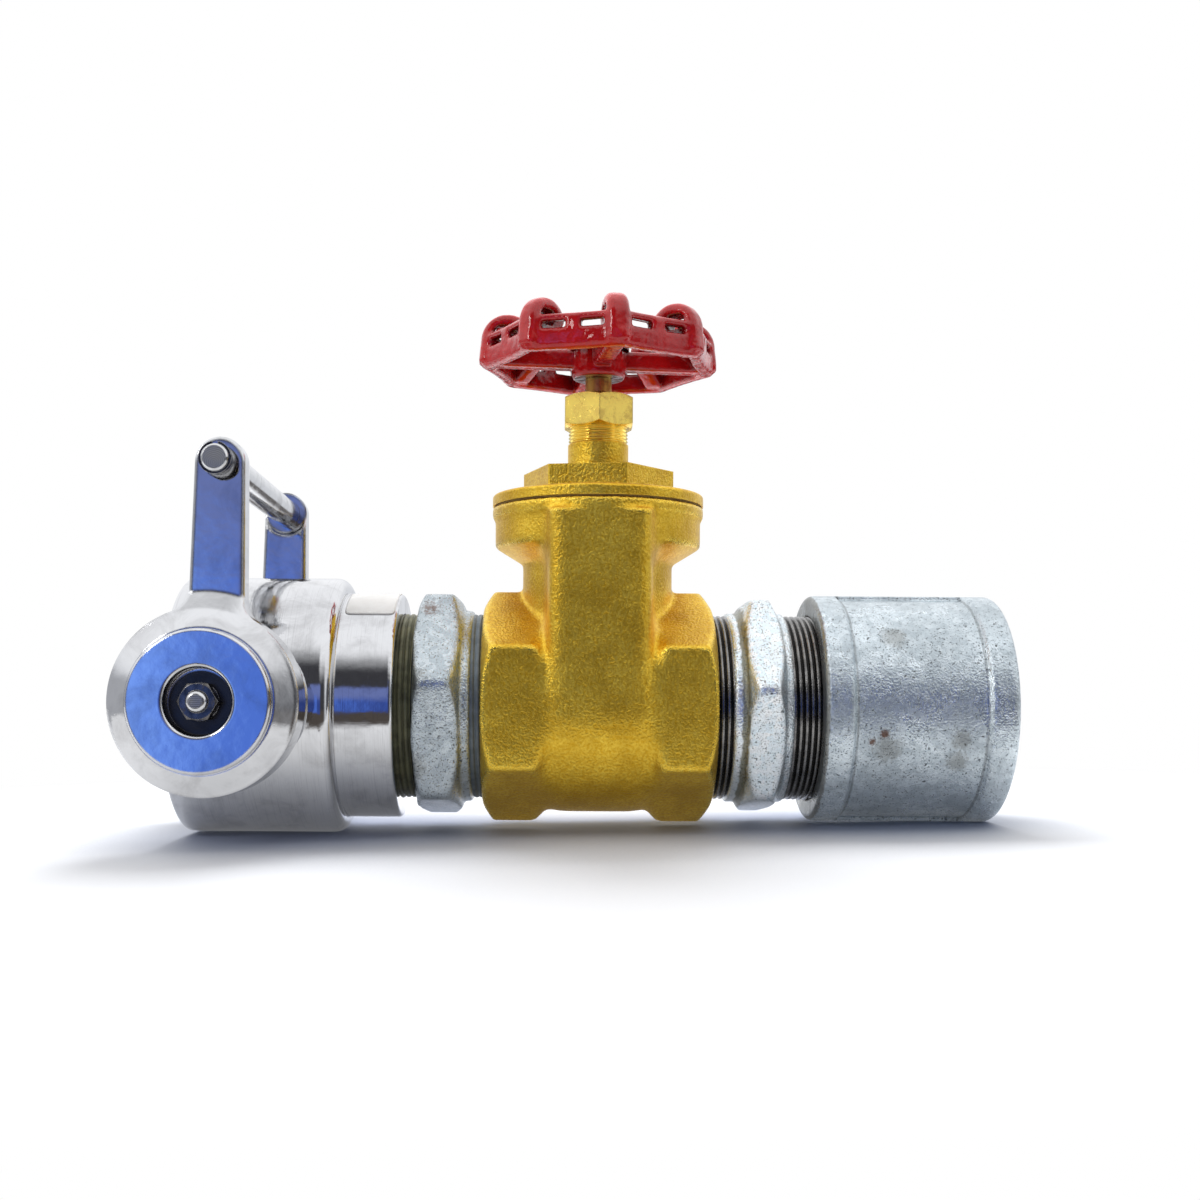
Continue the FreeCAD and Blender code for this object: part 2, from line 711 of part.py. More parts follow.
def coupling_body():
    outer = [(coupling_x, 0), (coupling_x, coupling_neck_r), (shoulder_x, coupling_neck_r)]
    outer += [(shoulder_x, barrel_r), (mouth_x, barrel_r), (mouth_x, 0)]
    body = turned(outer, axis_x)
    body = round_rim(body, axis_x, shoulder_x, barrel_r, shoulder_round)
    body = round_rim(body, axis_x, coupling_x, coupling_neck_r, coupling_end_round)
    body = round_rim(body, axis_x, mouth_x, barrel_r, coupling_end_round)
    boss = rod(mouth_r, boss_top - mouth_r, boss_r, axis_z)
    pad = rod(mouth_r, pad_top - mouth_r, cam_outer_r, axis_z)
    boss = boss.fuse(pad)
    for ramp in cam_ring(cam_low - cam_root, cam_root):
        boss = boss.fuse(ramp)
    front = to_front(boss)
    body = body.fuse([front, front.mirror(vec(0, 0, 0), axis_y)])
    seal_x = mouth_x + mouth_depth
    thread_x = coupling_x - coupling_thread_depth
    bore = [(mouth_x, 0), (mouth_x, mouth_lead_r), (mouth_x + mouth_lead_len, mouth_r), (seal_x, mouth_r)]
    bore += [(seal_x, seal_groove_r), (seal_x + seal_w, seal_groove_r), (seal_x + seal_w, waterway_r)]
    bore += [(thread_x, waterway_r), (thread_x, thread_r + thread_clear)]
    bore += [(coupling_x, thread_r + thread_clear), (coupling_x, 0)]
    body = body.cut(turned(bore, axis_x))
    nose = rod(nose_tip, chamber_bottom - nose_tip, nose_r + latch_clear, axis_z)
    flat = nose_half_flat + latch_clear
    nose = nose.common(block((-2 * nose_r, 2 * nose_r), (-flat, flat), (0, chamber_bottom)))
    chamber = rod(chamber_bottom, boss_top - chamber_bottom, chamber_r, axis_z)
    seat = rod(retainer_bottom, boss_top - retainer_bottom, retainer_r, axis_z)
    latch = to_front(nose.fuse([chamber, seat]))
    body = body.cut(latch).cut(latch.mirror(vec(0, 0, 0), axis_y))
    return largest(body).removeSplitter()


def mouth_seal_ring():
    seal_x = mouth_x + mouth_depth
    lip = 1.6
    points = [(seal_x, seal_groove_r), (seal_x + seal_w, seal_groove_r), (seal_x + seal_w, seal_inner_r)]
    points += [(seal_x + seal_w - lip, seal_inner_r), (seal_x + seal_w - lip - 2, seal_inner_r + 3)]
    points += [(seal_x + lip + 0.6, seal_inner_r + 3), (seal_x + lip, seal_inner_r + 1.2)]
    points += [(seal_x, seal_inner_r + 1.6)]
    return turned(points, axis_x)


def plunger():
    body = rod(nose_tip, chamber_bottom - nose_tip, nose_r, axis_z)
    wide = (-2 * nose_r, 2 * nose_r)
    body = body.common(block(wide, (-nose_half_flat, nose_half_flat), (0, chamber_bottom)))
    far = -nose_r - over
    slope = [vec(far, 0, mouth_r + over), vec(nose_r * 0.3, 0, nose_tip), vec(far, 0, nose_tip)]
    slope.append(slope[0])
    wedge = Part.Face(Part.makePolygon(slope)).extrude(axis_y * (4 * nose_r))
    wedge.translate(axis_y * (-2 * nose_r))
    body = body.cut(wedge)
    body = body.fuse(rod(chamber_bottom, plunger_shoulder_t, plunger_shoulder_r, axis_z))
    stem_start = chamber_bottom + plunger_shoulder_t
    pin = rod(stem_start, plunger_stem_top - stem_start, plunger_stem_r, axis_z)
    pin = round_rim(pin, axis_z, plunger_stem_top, plunger_stem_r, plunger_tip_round)
    return body.fuse(pin).removeSplitter()


def spring():
    low = chamber_bottom + plunger_shoulder_t + spring_wire_r
    high = retainer_bottom - spring_wire_r
    path = Part.makeHelix((high - low) / spring_turns, high - low, spring_r)
    corners = []
    for i in range(7):
        a = math.radians(60 * i)
        corners.append(vec(spring_r + spring_wire_r * math.cos(a), 0, spring_wire_r * math.sin(a)))
    coil = Part.Wire(path).makePipeShell([Part.makePolygon(corners)], True, True)
    coil.translate(axis_z * low)
    return coil


def spring_retainer():
    body = tube(retainer_bottom, boss_top - retainer_bottom, retainer_r - thread_clear,
                plunger_stem_r + latch_clear, axis_z)
    for angle in (0, 180):
        key = Part.makeCylinder(1.0, 2.5, vec(6.8, 0, boss_top - 2), axis_z)
        key.rotate(vec(0, 0, 0), axis_z, angle)
        body = body.cut(key)
    return body


def plunger_fixings():
    base = hub_floor + hub_floor_t
    bore_r = plunger_stem_r + thread_clear
    washer = tube(base, washer_t, washer_r, bore_r, axis_z)
    nut = chamfered_hexagon(plunger_nut_af, base + washer_t, plunger_nut_t, axis_z, 0, low=False)
    nut = nut.cut(rod(base, 2 * (washer_t + plunger_nut_t), bore_r, axis_z))
    return {"plunger_washer": washer, "plunger_nut": nut}


def arm_blade(low, height):
    """Arm's outline from the hub to the cross rod, along +Y of the hub's frame before it leans."""
    half = arm_w / 2
    root = arm_root_w / 2
    start = hub_pocket_r + hub_wall
    crown = vec(0, rod_height + half, 0)
    edges = [Part.makeLine(vec(-root, start, 0), vec(root, start, 0)),
             Part.makeLine(vec(root, start, 0), vec(half, rod_height, 0)),
             Part.Arc(vec(half, rod_height, 0), crown, vec(-half, rod_height, 0)).toShape(),
             Part.makeLine(vec(-half, rod_height, 0), vec(-root, start, 0))]
    blade = Part.Face(Part.Wire(edges)).extrude(axis_z * height)
    blade.translate(vec(arm_offset, 0, low))
    return blade


def arm_hub():
    """Turned hub, with the flare that carries the arm blended into its rim."""
    top = hub_face + over
    plan = rod(hub_back, top - hub_back, hub_r, axis_z).fuse(arm_blade(hub_back, top - hub_back))
    corners = [e for e in plan.Edges if e.BoundBox.ZLength > over
               and abs(math.hypot(e.CenterOfMass.x, e.CenterOfMass.y) - hub_r) < 0.01]
    corners = [e for e in corners if e.CenterOfMass.y > hub_r / 2]
    plan = plan.makeFillet(hub_blend, corners)
    arm_out = arm_in + arm_t
    points = [(hub_back, 0), (hub_back, hub_r), (arm_in, hub_r), (arm_in, arm_foot_r), (arm_out, arm_foot_r)]
    points += [(hub_edge, hub_r - hub_edge_round), (hub_disc_root, hub_disc_r + hub_disc_bevel)]
    points += [(hub_disc_root, hub_disc_r), (hub_face - hub_disc_bevel, hub_disc_r)]
    points += [(hub_face, hub_disc_r - hub_disc_bevel), (hub_face, 0)]
    hub = plan.common(turned(points, axis_z))
    back = [e for e in hub.Edges if abs(e.CenterOfMass.z - hub_back) < 0.01]
    return hub.makeChamfer(hub_edge_round, back)


def release_arm():
    blade = arm_blade(arm_in, arm_t)
    rims = [e for e in blade.Edges if e.BoundBox.ZLength < 0.01 and e.BoundBox.YMax > rod_height - over]
    blade = blade.makeFillet(arm_edge_round, rims)
    floor = arm_in + spot_depth
    spot = [(arm_in - over, 0), (arm_in - over, spot_r + over), (floor, spot_r - spot_depth), (floor, 0)]
    eye = turned(spot, axis_z).fuse(rod(arm_in, arm_t + over, pin_r + latch_clear, axis_z))
    eye.translate(vec(arm_offset, rod_height, 0))
    body = arm_hub().fuse(blade).cut(eye)
    body.rotate(vec(0, 0, 0), axis_z, -arm_lean)
    recess_z = hub_floor + hub_floor_t
    body = body.cut(rod(recess_z, hub_face - recess_z, hub_recess_r, axis_z))
    body = round_rim(body, axis_z, hub_face, hub_recess_r, recess_lip)
    body = body.cut(rod(0, hub_floor, boss_r + latch_clear, axis_z))
    body = body.cut(rod(0, hub_face, plunger_stem_r + hub_stem_gap, axis_z))
    body = body.cut(rod(0, hub_pocket_top, hub_pocket_r, axis_z))
    body = body.cut(tube(0, hub_shell_top, hub_r - hub_wall, hub_pocket_r + hub_wall, axis_z))
    pocket = tube(0, hub_pocket_top + over, hub_pocket_r, boss_r + latch_clear, axis_z)
    for ramp in cam_ring(cam_low + cam_gap, hub_pocket_top - cam_low + over):
        body = body.fuse(ramp.common(pocket))
    return largest(body).removeSplitter()


def handle_rod():
    shoulder = arm_in + spot_depth - rod_gap
    end = arm_in + arm_t + pin_proud
    half = [(shoulder, rod_r), (shoulder, pin_r), (end - pin_bevel, pin_r)]
    half += [(end, pin_r - pin_bevel), (end, 0)]
    points = [(-along, radius) for along, radius in reversed(half)] + half
    body = turned(points, axis_z)
    return placed_on_rod(body)


def placed_on_rod(shape):
    """Move a piece from the rod's own axis to its place at the top of the arms."""
    moved = shape.copy()
    moved.translate(vec(arm_offset, rod_height, 0))
    moved.rotate(vec(0, 0, 0), axis_z, -arm_lean)
    return to_front(moved)


def rod_clip():
    start = arm_in + arm_t + release_lift + rod_gap
    ring = tube(start, clip_t, clip_r, pin_r, axis_z)
    gap = block((-clip_t, clip_t), (0, 2 * clip_r), (start - over, start + clip_t + over))
    return placed_on_rod(ring.cut(gap))


def latch_pieces():
    """Every piece that the coupling has once on each side, by its name without the side."""
    pieces = {"plunger": plunger(), "spring": spring(), "spring_retainer": spring_retainer()}
    pieces["release_arm"] = release_arm()
    pieces.update(plunger_fixings())
    placed = {name: to_front(shape) for name, shape in pieces.items()}
    placed["rod_clip"] = rod_clip()
    return placed


def all_nodes():
    nodes = {"pipe_socket": pipe_socket(), "pipe_nipple": pipe_nipple(), "valve_body": valve_body()}
    nodes["gate_wedge"] = gate_wedge()
    nodes["bonnet_gasket"] = bonnet_gasket()
    nodes["bonnet"] = bonnet()
    nodes["stem"] = stem()
    nodes.update(gland_pieces())
    nodes["handwheel"] = handwheel()
    nodes.update(wheel_fixings())
    nodes["coupling_nipple"] = coupling_nipple()
    nodes["coupling_body"] = coupling_body()
    nodes["mouth_seal_ring"] = mouth_seal_ring()
    nodes["handle_rod"] = handle_rod()
    for name, shape in latch_pieces().items():
        nodes["front_" + name] = shape
        nodes["rear_" + name] = shape.mirror(vec(0, 0, 0), axis_y)
    turned_tight = [name for name in nodes if name.startswith(("front_", "rear_"))]
    for name in turned_tight + ["coupling_body", "mouth_seal_ring", "handle_rod"]:
        nodes[name].rotate(vec(0, 0, 0), axis_x, coupling_roll)
    return nodes


os.makedirs("parts", exist_ok=True)
for node, shape in all_nodes().items():
    shape.exportStep("parts/" + node + ".step")
    box = shape.BoundBox
    print(node, shape.isValid(), len(shape.Solids), round(shape.Volume),
          [round(v, 1) for v in (box.XMin, box.XMax, box.YMin, box.YMax, box.ZMin, box.ZMax)])
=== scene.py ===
import json
import math
import bpy
import bmesh
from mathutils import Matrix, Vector

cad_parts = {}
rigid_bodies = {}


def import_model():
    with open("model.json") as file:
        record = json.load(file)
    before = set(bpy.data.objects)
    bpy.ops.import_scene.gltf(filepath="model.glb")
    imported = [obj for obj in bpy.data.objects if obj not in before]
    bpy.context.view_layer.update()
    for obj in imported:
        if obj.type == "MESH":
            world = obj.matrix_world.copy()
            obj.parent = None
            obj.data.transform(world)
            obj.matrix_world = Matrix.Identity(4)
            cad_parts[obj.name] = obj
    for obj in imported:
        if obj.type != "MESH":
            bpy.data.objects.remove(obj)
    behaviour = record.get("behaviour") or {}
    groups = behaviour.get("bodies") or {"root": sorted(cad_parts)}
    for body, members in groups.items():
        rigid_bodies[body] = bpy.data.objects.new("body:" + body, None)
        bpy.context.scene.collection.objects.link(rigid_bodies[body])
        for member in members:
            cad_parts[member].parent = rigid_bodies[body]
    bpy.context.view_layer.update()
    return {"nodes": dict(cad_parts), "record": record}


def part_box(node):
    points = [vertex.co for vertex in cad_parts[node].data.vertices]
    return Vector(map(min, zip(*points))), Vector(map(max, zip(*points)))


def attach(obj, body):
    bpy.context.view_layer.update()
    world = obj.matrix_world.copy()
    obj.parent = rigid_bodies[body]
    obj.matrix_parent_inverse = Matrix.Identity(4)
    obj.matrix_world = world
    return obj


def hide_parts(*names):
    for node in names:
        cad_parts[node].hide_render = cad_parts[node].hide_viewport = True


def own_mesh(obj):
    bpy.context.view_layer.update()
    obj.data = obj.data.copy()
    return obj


for leftover in list(bpy.data.objects):
    bpy.data.objects.remove(leftover)

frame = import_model()
nodes = frame["nodes"]
scene = bpy.context.scene
mm = 0.001
print("adapter loaded:", len(nodes), "pieces")


# camera first, so every later piece can be looked at from the photograph's side
shot = {
    "focalPx": 1361,
    "framePx": 1200,
    "centrePx": (554, 687),
    "stand": (-0.1772, -0.560, 0.008),
    "roll": -0.38,
    "sensor": 36,
}


def makeCamera():
    data = bpy.data.cameras.new("benchCamera")
    data.sensor_width = shot["sensor"]
    data.lens = shot["sensor"] * shot["focalPx"] / shot["framePx"]
    data.shift_x = 0.5 - shot["centrePx"][0] / shot["framePx"]
    data.shift_y = shot["centrePx"][1] / shot["framePx"] - 0.5
    camera = bpy.data.objects.new("benchCamera", data)
    camera.location = shot["stand"]
    camera.rotation_euler = (math.radians(90), math.radians(shot["roll"]), 0)
    scene.collection.objects.link(camera)
    scene.camera = camera


makeCamera()
scene.view_settings.view_transform = "Standard"
print("camera set")


# helpers for node trees
def put(tree, kind, inputs=None, **settings):
    node = tree.nodes.new("ShaderNode" + kind)
    for name, value in settings.items():
        setattr(node, name, value)
    for name, value in (inputs or {}).items():
        if isinstance(value, bpy.types.NodeSocket):
            tree.links.new(value, node.inputs[name])
        else:
            node.inputs[name].default_value = value
    return node


def calc(tree, operation, a, b=0.0, clamp=False):
    return put(tree, "Math", {0: a, 1: b}, operation=operation, use_clamp=clamp).outputs[0]


def times(tree, a, b):
    return calc(tree, "MULTIPLY", a, b)


def ramp(tree, value, low, high, toLow=0.0, toHigh=1.0):
    limits = {"Value": value, "From Min": low, "From Max": high, "To Min": toLow, "To Max": toHigh}
    return put(tree, "MapRange", limits, interpolation_type="SMOOTHSTEP").outputs["Result"]


def tint(tree, share, a, b):
    node = put(tree, "Mix", data_type="RGBA")
    for socket, value in ((node.inputs[0], share), (node.inputs[6], a), (node.inputs[7], b)):
        if isinstance(value, bpy.types.NodeSocket):
            tree.links.new(value, socket)
        else:
            socket.default_value = value if isinstance(value, float) else (*value, 1.0)[:4]
    return node.outputs[2]


def here(tree):
    return put(tree, "TexCoord").outputs["Object"]


def hereInMm(tree):
    return put(tree, "VectorMath", {0: here(tree), "Scale": 1000.0}, operation="SCALE").outputs[0]


def noise(tree, where, scale, detail, **more):
    return put(tree, "TexNoise", {"Vector": where, "Scale": scale, "Detail": detail, **more}).outputs[0]


def newGroup(name, inputs, outputs):
    group = bpy.data.node_groups.new(name, "ShaderNodeTree")
    for title, kind, value in inputs:
        socket = group.interface.new_socket(title, in_out="INPUT", socket_type="NodeSocket" + kind)
        socket.default_value = value
    for title, kind in outputs:
        group.interface.new_socket(title, in_out="OUTPUT", socket_type="NodeSocket" + kind)
    return group, group.nodes.new("NodeGroupInput").outputs, group.nodes.new("NodeGroupOutput").inputs


# shared effects, with their sizes in millimetres
grainCut = {"speckle": (0.30, 0.70), "mottle": (0.32, 0.68), "lumpScale": 2.7}


def makeCastGrain():        # blasted or dipped casting skin: fine speckle, slow mottle, shallow lumps
    group, given, out = newGroup(
        "castGrain",
        (("Speckle Size", "Float", 0.4), ("Mottle Size", "Float", 9.0), ("Lump Share", "Float", 0.3)),
        (("Speckle", "Float"), ("Mottle", "Float"), ("Height", "Float")))
    spot = here(group)
    fineScale = calc(group, "DIVIDE", 1000.0, given["Speckle Size"])
    slowScale = calc(group, "DIVIDE", 1000.0, given["Mottle Size"])
    fine = noise(group, spot, fineScale, 2.0, Roughness=0.6)
    slow = noise(group, spot, slowScale, 4.0, Roughness=0.6)
    lumps = noise(group, spot, times(group, slowScale, grainCut["lumpScale"]), 1.0)
    group.links.new(ramp(group, fine, *grainCut["speckle"]), out["Speckle"])
    group.links.new(ramp(group, slow, *grainCut["mottle"]), out["Mottle"])
    lift = times(group, lumps, given["Lump Share"])
    group.links.new(calc(group, "ADD", fine, lift), out["Height"])
    return group


wearCut = {
    "smudge": (0.42, 0.72),
    "hair": (0.64, 0.70),
    "lays": (((0.2, 0.5, 0.1), (1.0, 0.05, 1.0)), ((0.9, 0.1, 0.7), (0.05, 1.0, 1.0))),   # turn and stretch
}


def makeHandling():         # wiped smudges and hair scratches of a handled bright part
    group, given, out = newGroup(
        "handling",
        (("Smudge Size", "Float", 14.0), ("Scratch Size", "Float", 2.0)),
        (("Smudge", "Float"), ("Scratch", "Float")))
    spot = here(group)
    smudgeScale = calc(group, "DIVIDE", 1000.0, given["Smudge Size"])
    scratchScale = calc(group, "DIVIDE", 1000.0, given["Scratch Size"])
    smudge = noise(group, spot, smudgeScale, 5.0, Roughness=0.62, Distortion=0.6)
    group.links.new(ramp(group, smudge, *wearCut["smudge"]), out["Smudge"])
    total = None
    for turn, stretch in wearCut["lays"]:
        lay = put(group, "Mapping", {"Vector": spot, "Rotation": turn, "Scale": stretch}).outputs[0]
        line = ramp(group, noise(group, lay, scratchScale, 3.0), *wearCut["hair"])
        total = line if total is None else calc(group, "MAXIMUM", total, line)
    group.links.new(total, out["Scratch"])
    return group


wanderScale = 260.0


def makeAlongPipe():        # a mask between two places along the pipe axis
    group, given, out = newGroup(
        "alongPipe",
        (("From", "Float", 0.0), ("To", "Float", 1.0), ("Soft", "Float", 0.2), ("Ragged", "Float", 0.0)),
        (("Mask", "Float"),))
    spot = here(group)
    x = times(group, put(group, "SeparateXYZ", {0: spot}).outputs[0], 1000.0)
    wander = calc(group, "SUBTRACT", noise(group, spot, wanderScale, 3.0), 0.5)
    x = calc(group, "ADD", x, times(group, wander, given["Ragged"]))
    rise = calc(group, "DIVIDE", calc(group, "SUBTRACT", x, given["From"]), given["Soft"], clamp=True)
    fall = calc(group, "DIVIDE", calc(group, "SUBTRACT", given["To"], x), given["Soft"], clamp=True)
    group.links.new(times(group, rise, fall), out["Mask"])
    return group


stainCut = (0.35, 0.75)


def makeStain():            # a ragged patch round one point
    group, given, out = newGroup(
        "stain",
        (("Centre", "Vector", (0, 0, 0)), ("Reach", "Float", 6.0), ("Grain", "Float", 3.0)),
        (("Mask", "Float"),))
    spot = hereInMm(group)
    gap = put(group, "VectorMath", {0: spot, 1: given["Centre"]}, operation="DISTANCE").outputs["Value"]
    near = calc(group, "SUBTRACT", 1.0, calc(group, "DIVIDE", gap, given["Reach"]), clamp=True)
    grainScale = calc(group, "DIVIDE", 1.0, given["Grain"])
    ragged = calc(group, "SUBTRACT", noise(group, spot, grainScale, 5.0, Roughness=0.7), 0.5)
    group.links.new(ramp(group, calc(group, "ADD", near, ragged), *stainCut), out["Mask"])
    return group


def makeRoundAxis():        # distance from an axis across the pipe, and a mask within a radius of it
    group, given, out = newGroup(
        "roundAxis",
        (("Centre", "Vector", (0, 0, 0)), ("Radius", "Float", 5.0), ("Soft", "Float", 0.4)),
        (("Mask", "Float"), ("Distance", "Float")))
    away = put(group, "VectorMath", {0: hereInMm(group), 1: given["Centre"]}, operation="SUBTRACT").outputs[0]
    flat = put(group, "VectorMath", {0: away, 1: (1.0, 0.0, 1.0)}, operation="MULTIPLY").outputs[0]
    length = put(group, "VectorMath", {0: flat}, operation="LENGTH").outputs["Value"]
    spare = calc(group, "SUBTRACT", given["Radius"], length)
    group.links.new(calc(group, "DIVIDE", spare, given["Soft"], clamp=True), out["Mask"])
    group.links.new(length, out["Distance"])
    return group


proudCut = {"scale": 700.0, "patchy": (0.25, 0.6)}


def makeCastEdge():         # proud edges of a finely meshed casting
    group, given, out = newGroup(
        "castEdge", (("From", "Float", 0.503), ("To", "Float", 0.52)), (("Mask", "Float"),))
    proud = put(group, "NewGeometry").outputs["Pointiness"]
    patchy = ramp(group, noise(group, here(group), proudCut["scale"], 3.0), *proudCut["patchy"])
    span = calc(group, "SUBTRACT", given["To"], given["From"])
    edge = calc(group, "DIVIDE", calc(group, "SUBTRACT", proud, given["From"]), span, clamp=True)
    group.links.new(times(group, edge, patchy), out["Mask"])
    return group


rubCut = {"turned": (0.995, 0.90), "patchy": (0.25, 0.55)}


def makeEdgeRub():          # edges rubbed bare, and on brass partly a painted highlight, found from how far a rounded normal turns away
    group, given, out = newGroup(
        "edgeRub",
        (("Width", "Float", 0.8), ("Grain", "Float", 1.5)),
        (("Mask", "Float"), ("Rounded", "Vector")))
    rounded = put(group, "Bevel", {"Radius": times(group, given["Width"], mm)}, samples=6).outputs[0]
    flat = put(group, "NewGeometry").outputs["Normal"]
    turn = put(group, "VectorMath", {0: rounded, 1: flat}, operation="DOT_PRODUCT").outputs["Value"]
    grainScale = calc(group, "DIVIDE", 1000.0, given["Grain"])
    patchy = ramp(group, noise(group, here(group), grainScale, 3.0), *rubCut["patchy"])
    group.links.new(times(group, ramp(group, turn, *rubCut["turned"]), patchy), out["Mask"])
    group.links.new(rounded, out["Rounded"])
    return group


castGrain = makeCastGrain()
handling = makeHandling()
alongPipe = makeAlongPipe()
stain = makeStain()
roundAxis = makeRoundAxis()
castEdge = makeCastEdge()
edgeRub = makeEdgeRub()
print("shared effects built")


# helpers for finishes
def newFinish(name, values):
    material = bpy.data.materials.new(name)
    material.use_nodes = True
    tree = material.node_tree
    skin = tree.nodes["Principled BSDF"]
    for title, value in values.items():
        skin.inputs[title].default_value = value
    return material, tree, skin


def effect(tree, group, **values):
    inputs = {title.replace("_", " "): value for title, value in values.items()}
    return put(tree, "Group", inputs, node_tree=group).outputs


def dress(tree, skin, colour, rough):
    tree.links.new(colour, skin.inputs["Base Color"])
    tree.links.new(rough, skin.inputs["Roughness"])


def bump(tree, skin, height, distance, strength, base=None):
    values = {"Height": height, "Distance": distance * mm, "Strength": strength}
    if base is not None:
        values["Normal"] = base
    tree.links.new(put(tree, "Bump", values).outputs[0], skin.inputs["Normal"])


# places in millimetres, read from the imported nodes
def middleOf(node):
    low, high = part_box(node)
    return [500 * (a + b) for a, b in zip(low, high)]


def endsOf(node):
    low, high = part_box(node)
    return low[0] * 1000, high[0] * 1000


hubAxis = middleOf("front_plunger")     # both release hubs turn about this line
rodAxis = middleOf("handle_rod")
valveLeft, valveRight = endsOf("valve_body")
couplingEnd = endsOf("coupling_body")[1]
socketEnd = endsOf("pipe_socket")[0]

polished = {
    "colour": (0.66, 0.665, 0.68),
    "dulled": (0.47, 0.47, 0.48),
    "rough": (0.04, 0.13),
    "turnedRough": (0.05, 0.15),
    "wear": {"Smudge_Size": 16.0, "Scratch_Size": 1.6},
    "smudgeShare": 0.8,
    "scratchDepth": 0.15,
    "grain": {"Speckle_Size": 2.6, "Mottle_Size": 13.0, "Lump_Share": 2.6},
    "wave": (0.03, 0.5),
    "ringScale": 2400.0,
    "ringStretch": (1.0, 0.02, 0.02),
    "ringDepth": 0.5,
    "ringDull": (0.5, 0.8, 0.0, 0.5),
    "recess": {"Radius": 12.2, "Soft": 0.6},
    # painted shade for the recess round the latch
    "recessShade": (0.06, 0.058, 0.055),
    "recessShadeRough": 0.3,
    "armEdge": 1.9,
    "hubEdge": 0.9,
    "hubSpan": (28.0, 32.0),
    "barrelEdge": 0.9,
}


def polishedSteel(name, rough, lathe, edgeWidth):
    material, tree, skin = newFinish(name, {"Metallic": 1.0})
    wear = effect(tree, handling, **polished["wear"])
    grain = effect(tree, castGrain, **polished["grain"])
    height = calc(tree, "SUBTRACT", grain["Height"], times(tree, wear["Scratch"], polished["scratchDepth"]))
    mask = times(tree, wear["Smudge"], polished["smudgeShare"])
    if lathe:               # faint rings left by the lathe round the pipe axis
        squeeze = put(tree, "Mapping", {"Vector": here(tree), "Scale": polished["ringStretch"]}).outputs[0]
        rings = noise(tree, squeeze, polished["ringScale"], 3.0)
        height = calc(tree, "ADD", height, times(tree, rings, polished["ringDepth"]))
        mask = calc(tree, "ADD", mask, ramp(tree, rings, *polished["ringDull"]), clamp=True)
    colour = tint(tree, mask, polished["colour"], polished["dulled"])
    shine = ramp(tree, mask, 0.0, 1.0, *rough)
    if not lathe:           # painted shade in the recess round the latch, darker and rougher there, and a crisper edge on the hub's face
        hub = effect(tree, roundAxis, Centre=hubAxis, **polished["recess"])
        colour = tint(tree, hub["Mask"], colour, polished["recessShade"])
        shine = calc(tree, "ADD", shine, times(tree, hub["Mask"], polished["recessShadeRough"]))
        edgeWidth = ramp(tree, hub["Distance"], *polished["hubSpan"], polished["hubEdge"], edgeWidth)
    dress(tree, skin, colour, shine)
    edge = effect(tree, edgeRub, Width=edgeWidth, Grain=1.0)
    bump(tree, skin, height, *polished["wave"], edge["Rounded"])
    return material


bright = {
    "colour": (0.64, 0.645, 0.655),
    "dulled": (0.46, 0.46, 0.47),
    "dullShare": 0.5,
    "rough": (0.12, 0.26),
    "wear": {"Smudge_Size": 9.0, "Scratch_Size": 1.0},
    "drawnScale": 1500.0,
    "drawnStretch": (1.0, 0.03, 1.0),
    "end": (0.20, 0.20, 0.20),
    "endPale": (0.38, 0.38, 0.38),
    "endTurn": (0.93, 0.98),
    "endRough": 0.32,
    "ringsPerMm": 9.0,
    "ringDepth": 0.8,
    "depth": (0.03, 0.4),
}


def brightSteel():
    material, tree, skin = newFinish("brightSteel", {"Metallic": 1.0})
    wear = effect(tree, handling, **bright["wear"])
    stretched = put(tree, "Mapping", {"Vector": here(tree), "Scale": bright["drawnStretch"]}).outputs[0]
    drawn = noise(tree, stretched, bright["drawnScale"], 2.0)
    colour = tint(tree, times(tree, wear["Smudge"], bright["dullShare"]), bright["colour"], bright["dulled"])
    facing = put(tree, "SeparateXYZ", {0: put(tree, "TexCoord").outputs["Normal"]}).outputs[1]
    faced = ramp(tree, calc(tree, "ABSOLUTE", facing), *bright["endTurn"])
    reach = effect(tree, roundAxis, Centre=rodAxis)["Distance"]
    rings = calc(tree, "SINE", times(tree, reach, bright["ringsPerMm"]))
    ringed = tint(tree, ramp(tree, rings, -1.0, 1.0), bright["end"], bright["endPale"])
    rough = ramp(tree, wear["Smudge"], 0.0, 1.0, *bright["rough"])
    rough = calc(tree, "ADD", rough, times(tree, faced, bright["endRough"]))
    dress(tree, skin, tint(tree, faced, colour, ringed), rough)      # faced ends show the tool's rings
    edge = effect(tree, edgeRub, Width=0.6, Grain=1.0)
    cuts = times(tree, times(tree, rings, faced), bright["ringDepth"])
    bump(tree, skin, calc(tree, "ADD", drawn, cuts), *bright["depth"], edge["Rounded"])
    return material


dark = {
    "colour": (0.085, 0.08, 0.078),
    "deep": (0.03, 0.029, 0.028),
    "rubAndHighlight": (0.45, 0.45, 0.45),
    "rough": (0.26, 0.48),
    "wear": {"Smudge_Size": 4.0, "Scratch_Size": 0.8},
    "grain": {"Speckle_Size": 0.5, "Mottle_Size": 5.0, "Lump_Share": 0.2},
    "depth": (0.04, 0.4),
    "cleaner": 2.0,
}


def darkSteel(name, lighter):
    material, tree, skin = newFinish(name, {"Metallic": 1.0})
    wear = effect(tree, handling, **dark["wear"])
    grain = effect(tree, castGrain, **dark["grain"])
    edge = effect(tree, edgeRub, Width=0.5, Grain=0.8)
    deep = [lighter * c for c in dark["deep"]]
    colour = tint(tree, grain["Mottle"], deep, [lighter * c for c in dark["colour"]])
    rough = ramp(tree, wear["Smudge"], 0.0, 1.0, *dark["rough"])
    dress(tree, skin, tint(tree, edge["Mask"], colour, dark["rubAndHighlight"]), rough)
    bump(tree, skin, grain["Height"], *dark["depth"], edge["Rounded"])
    return material


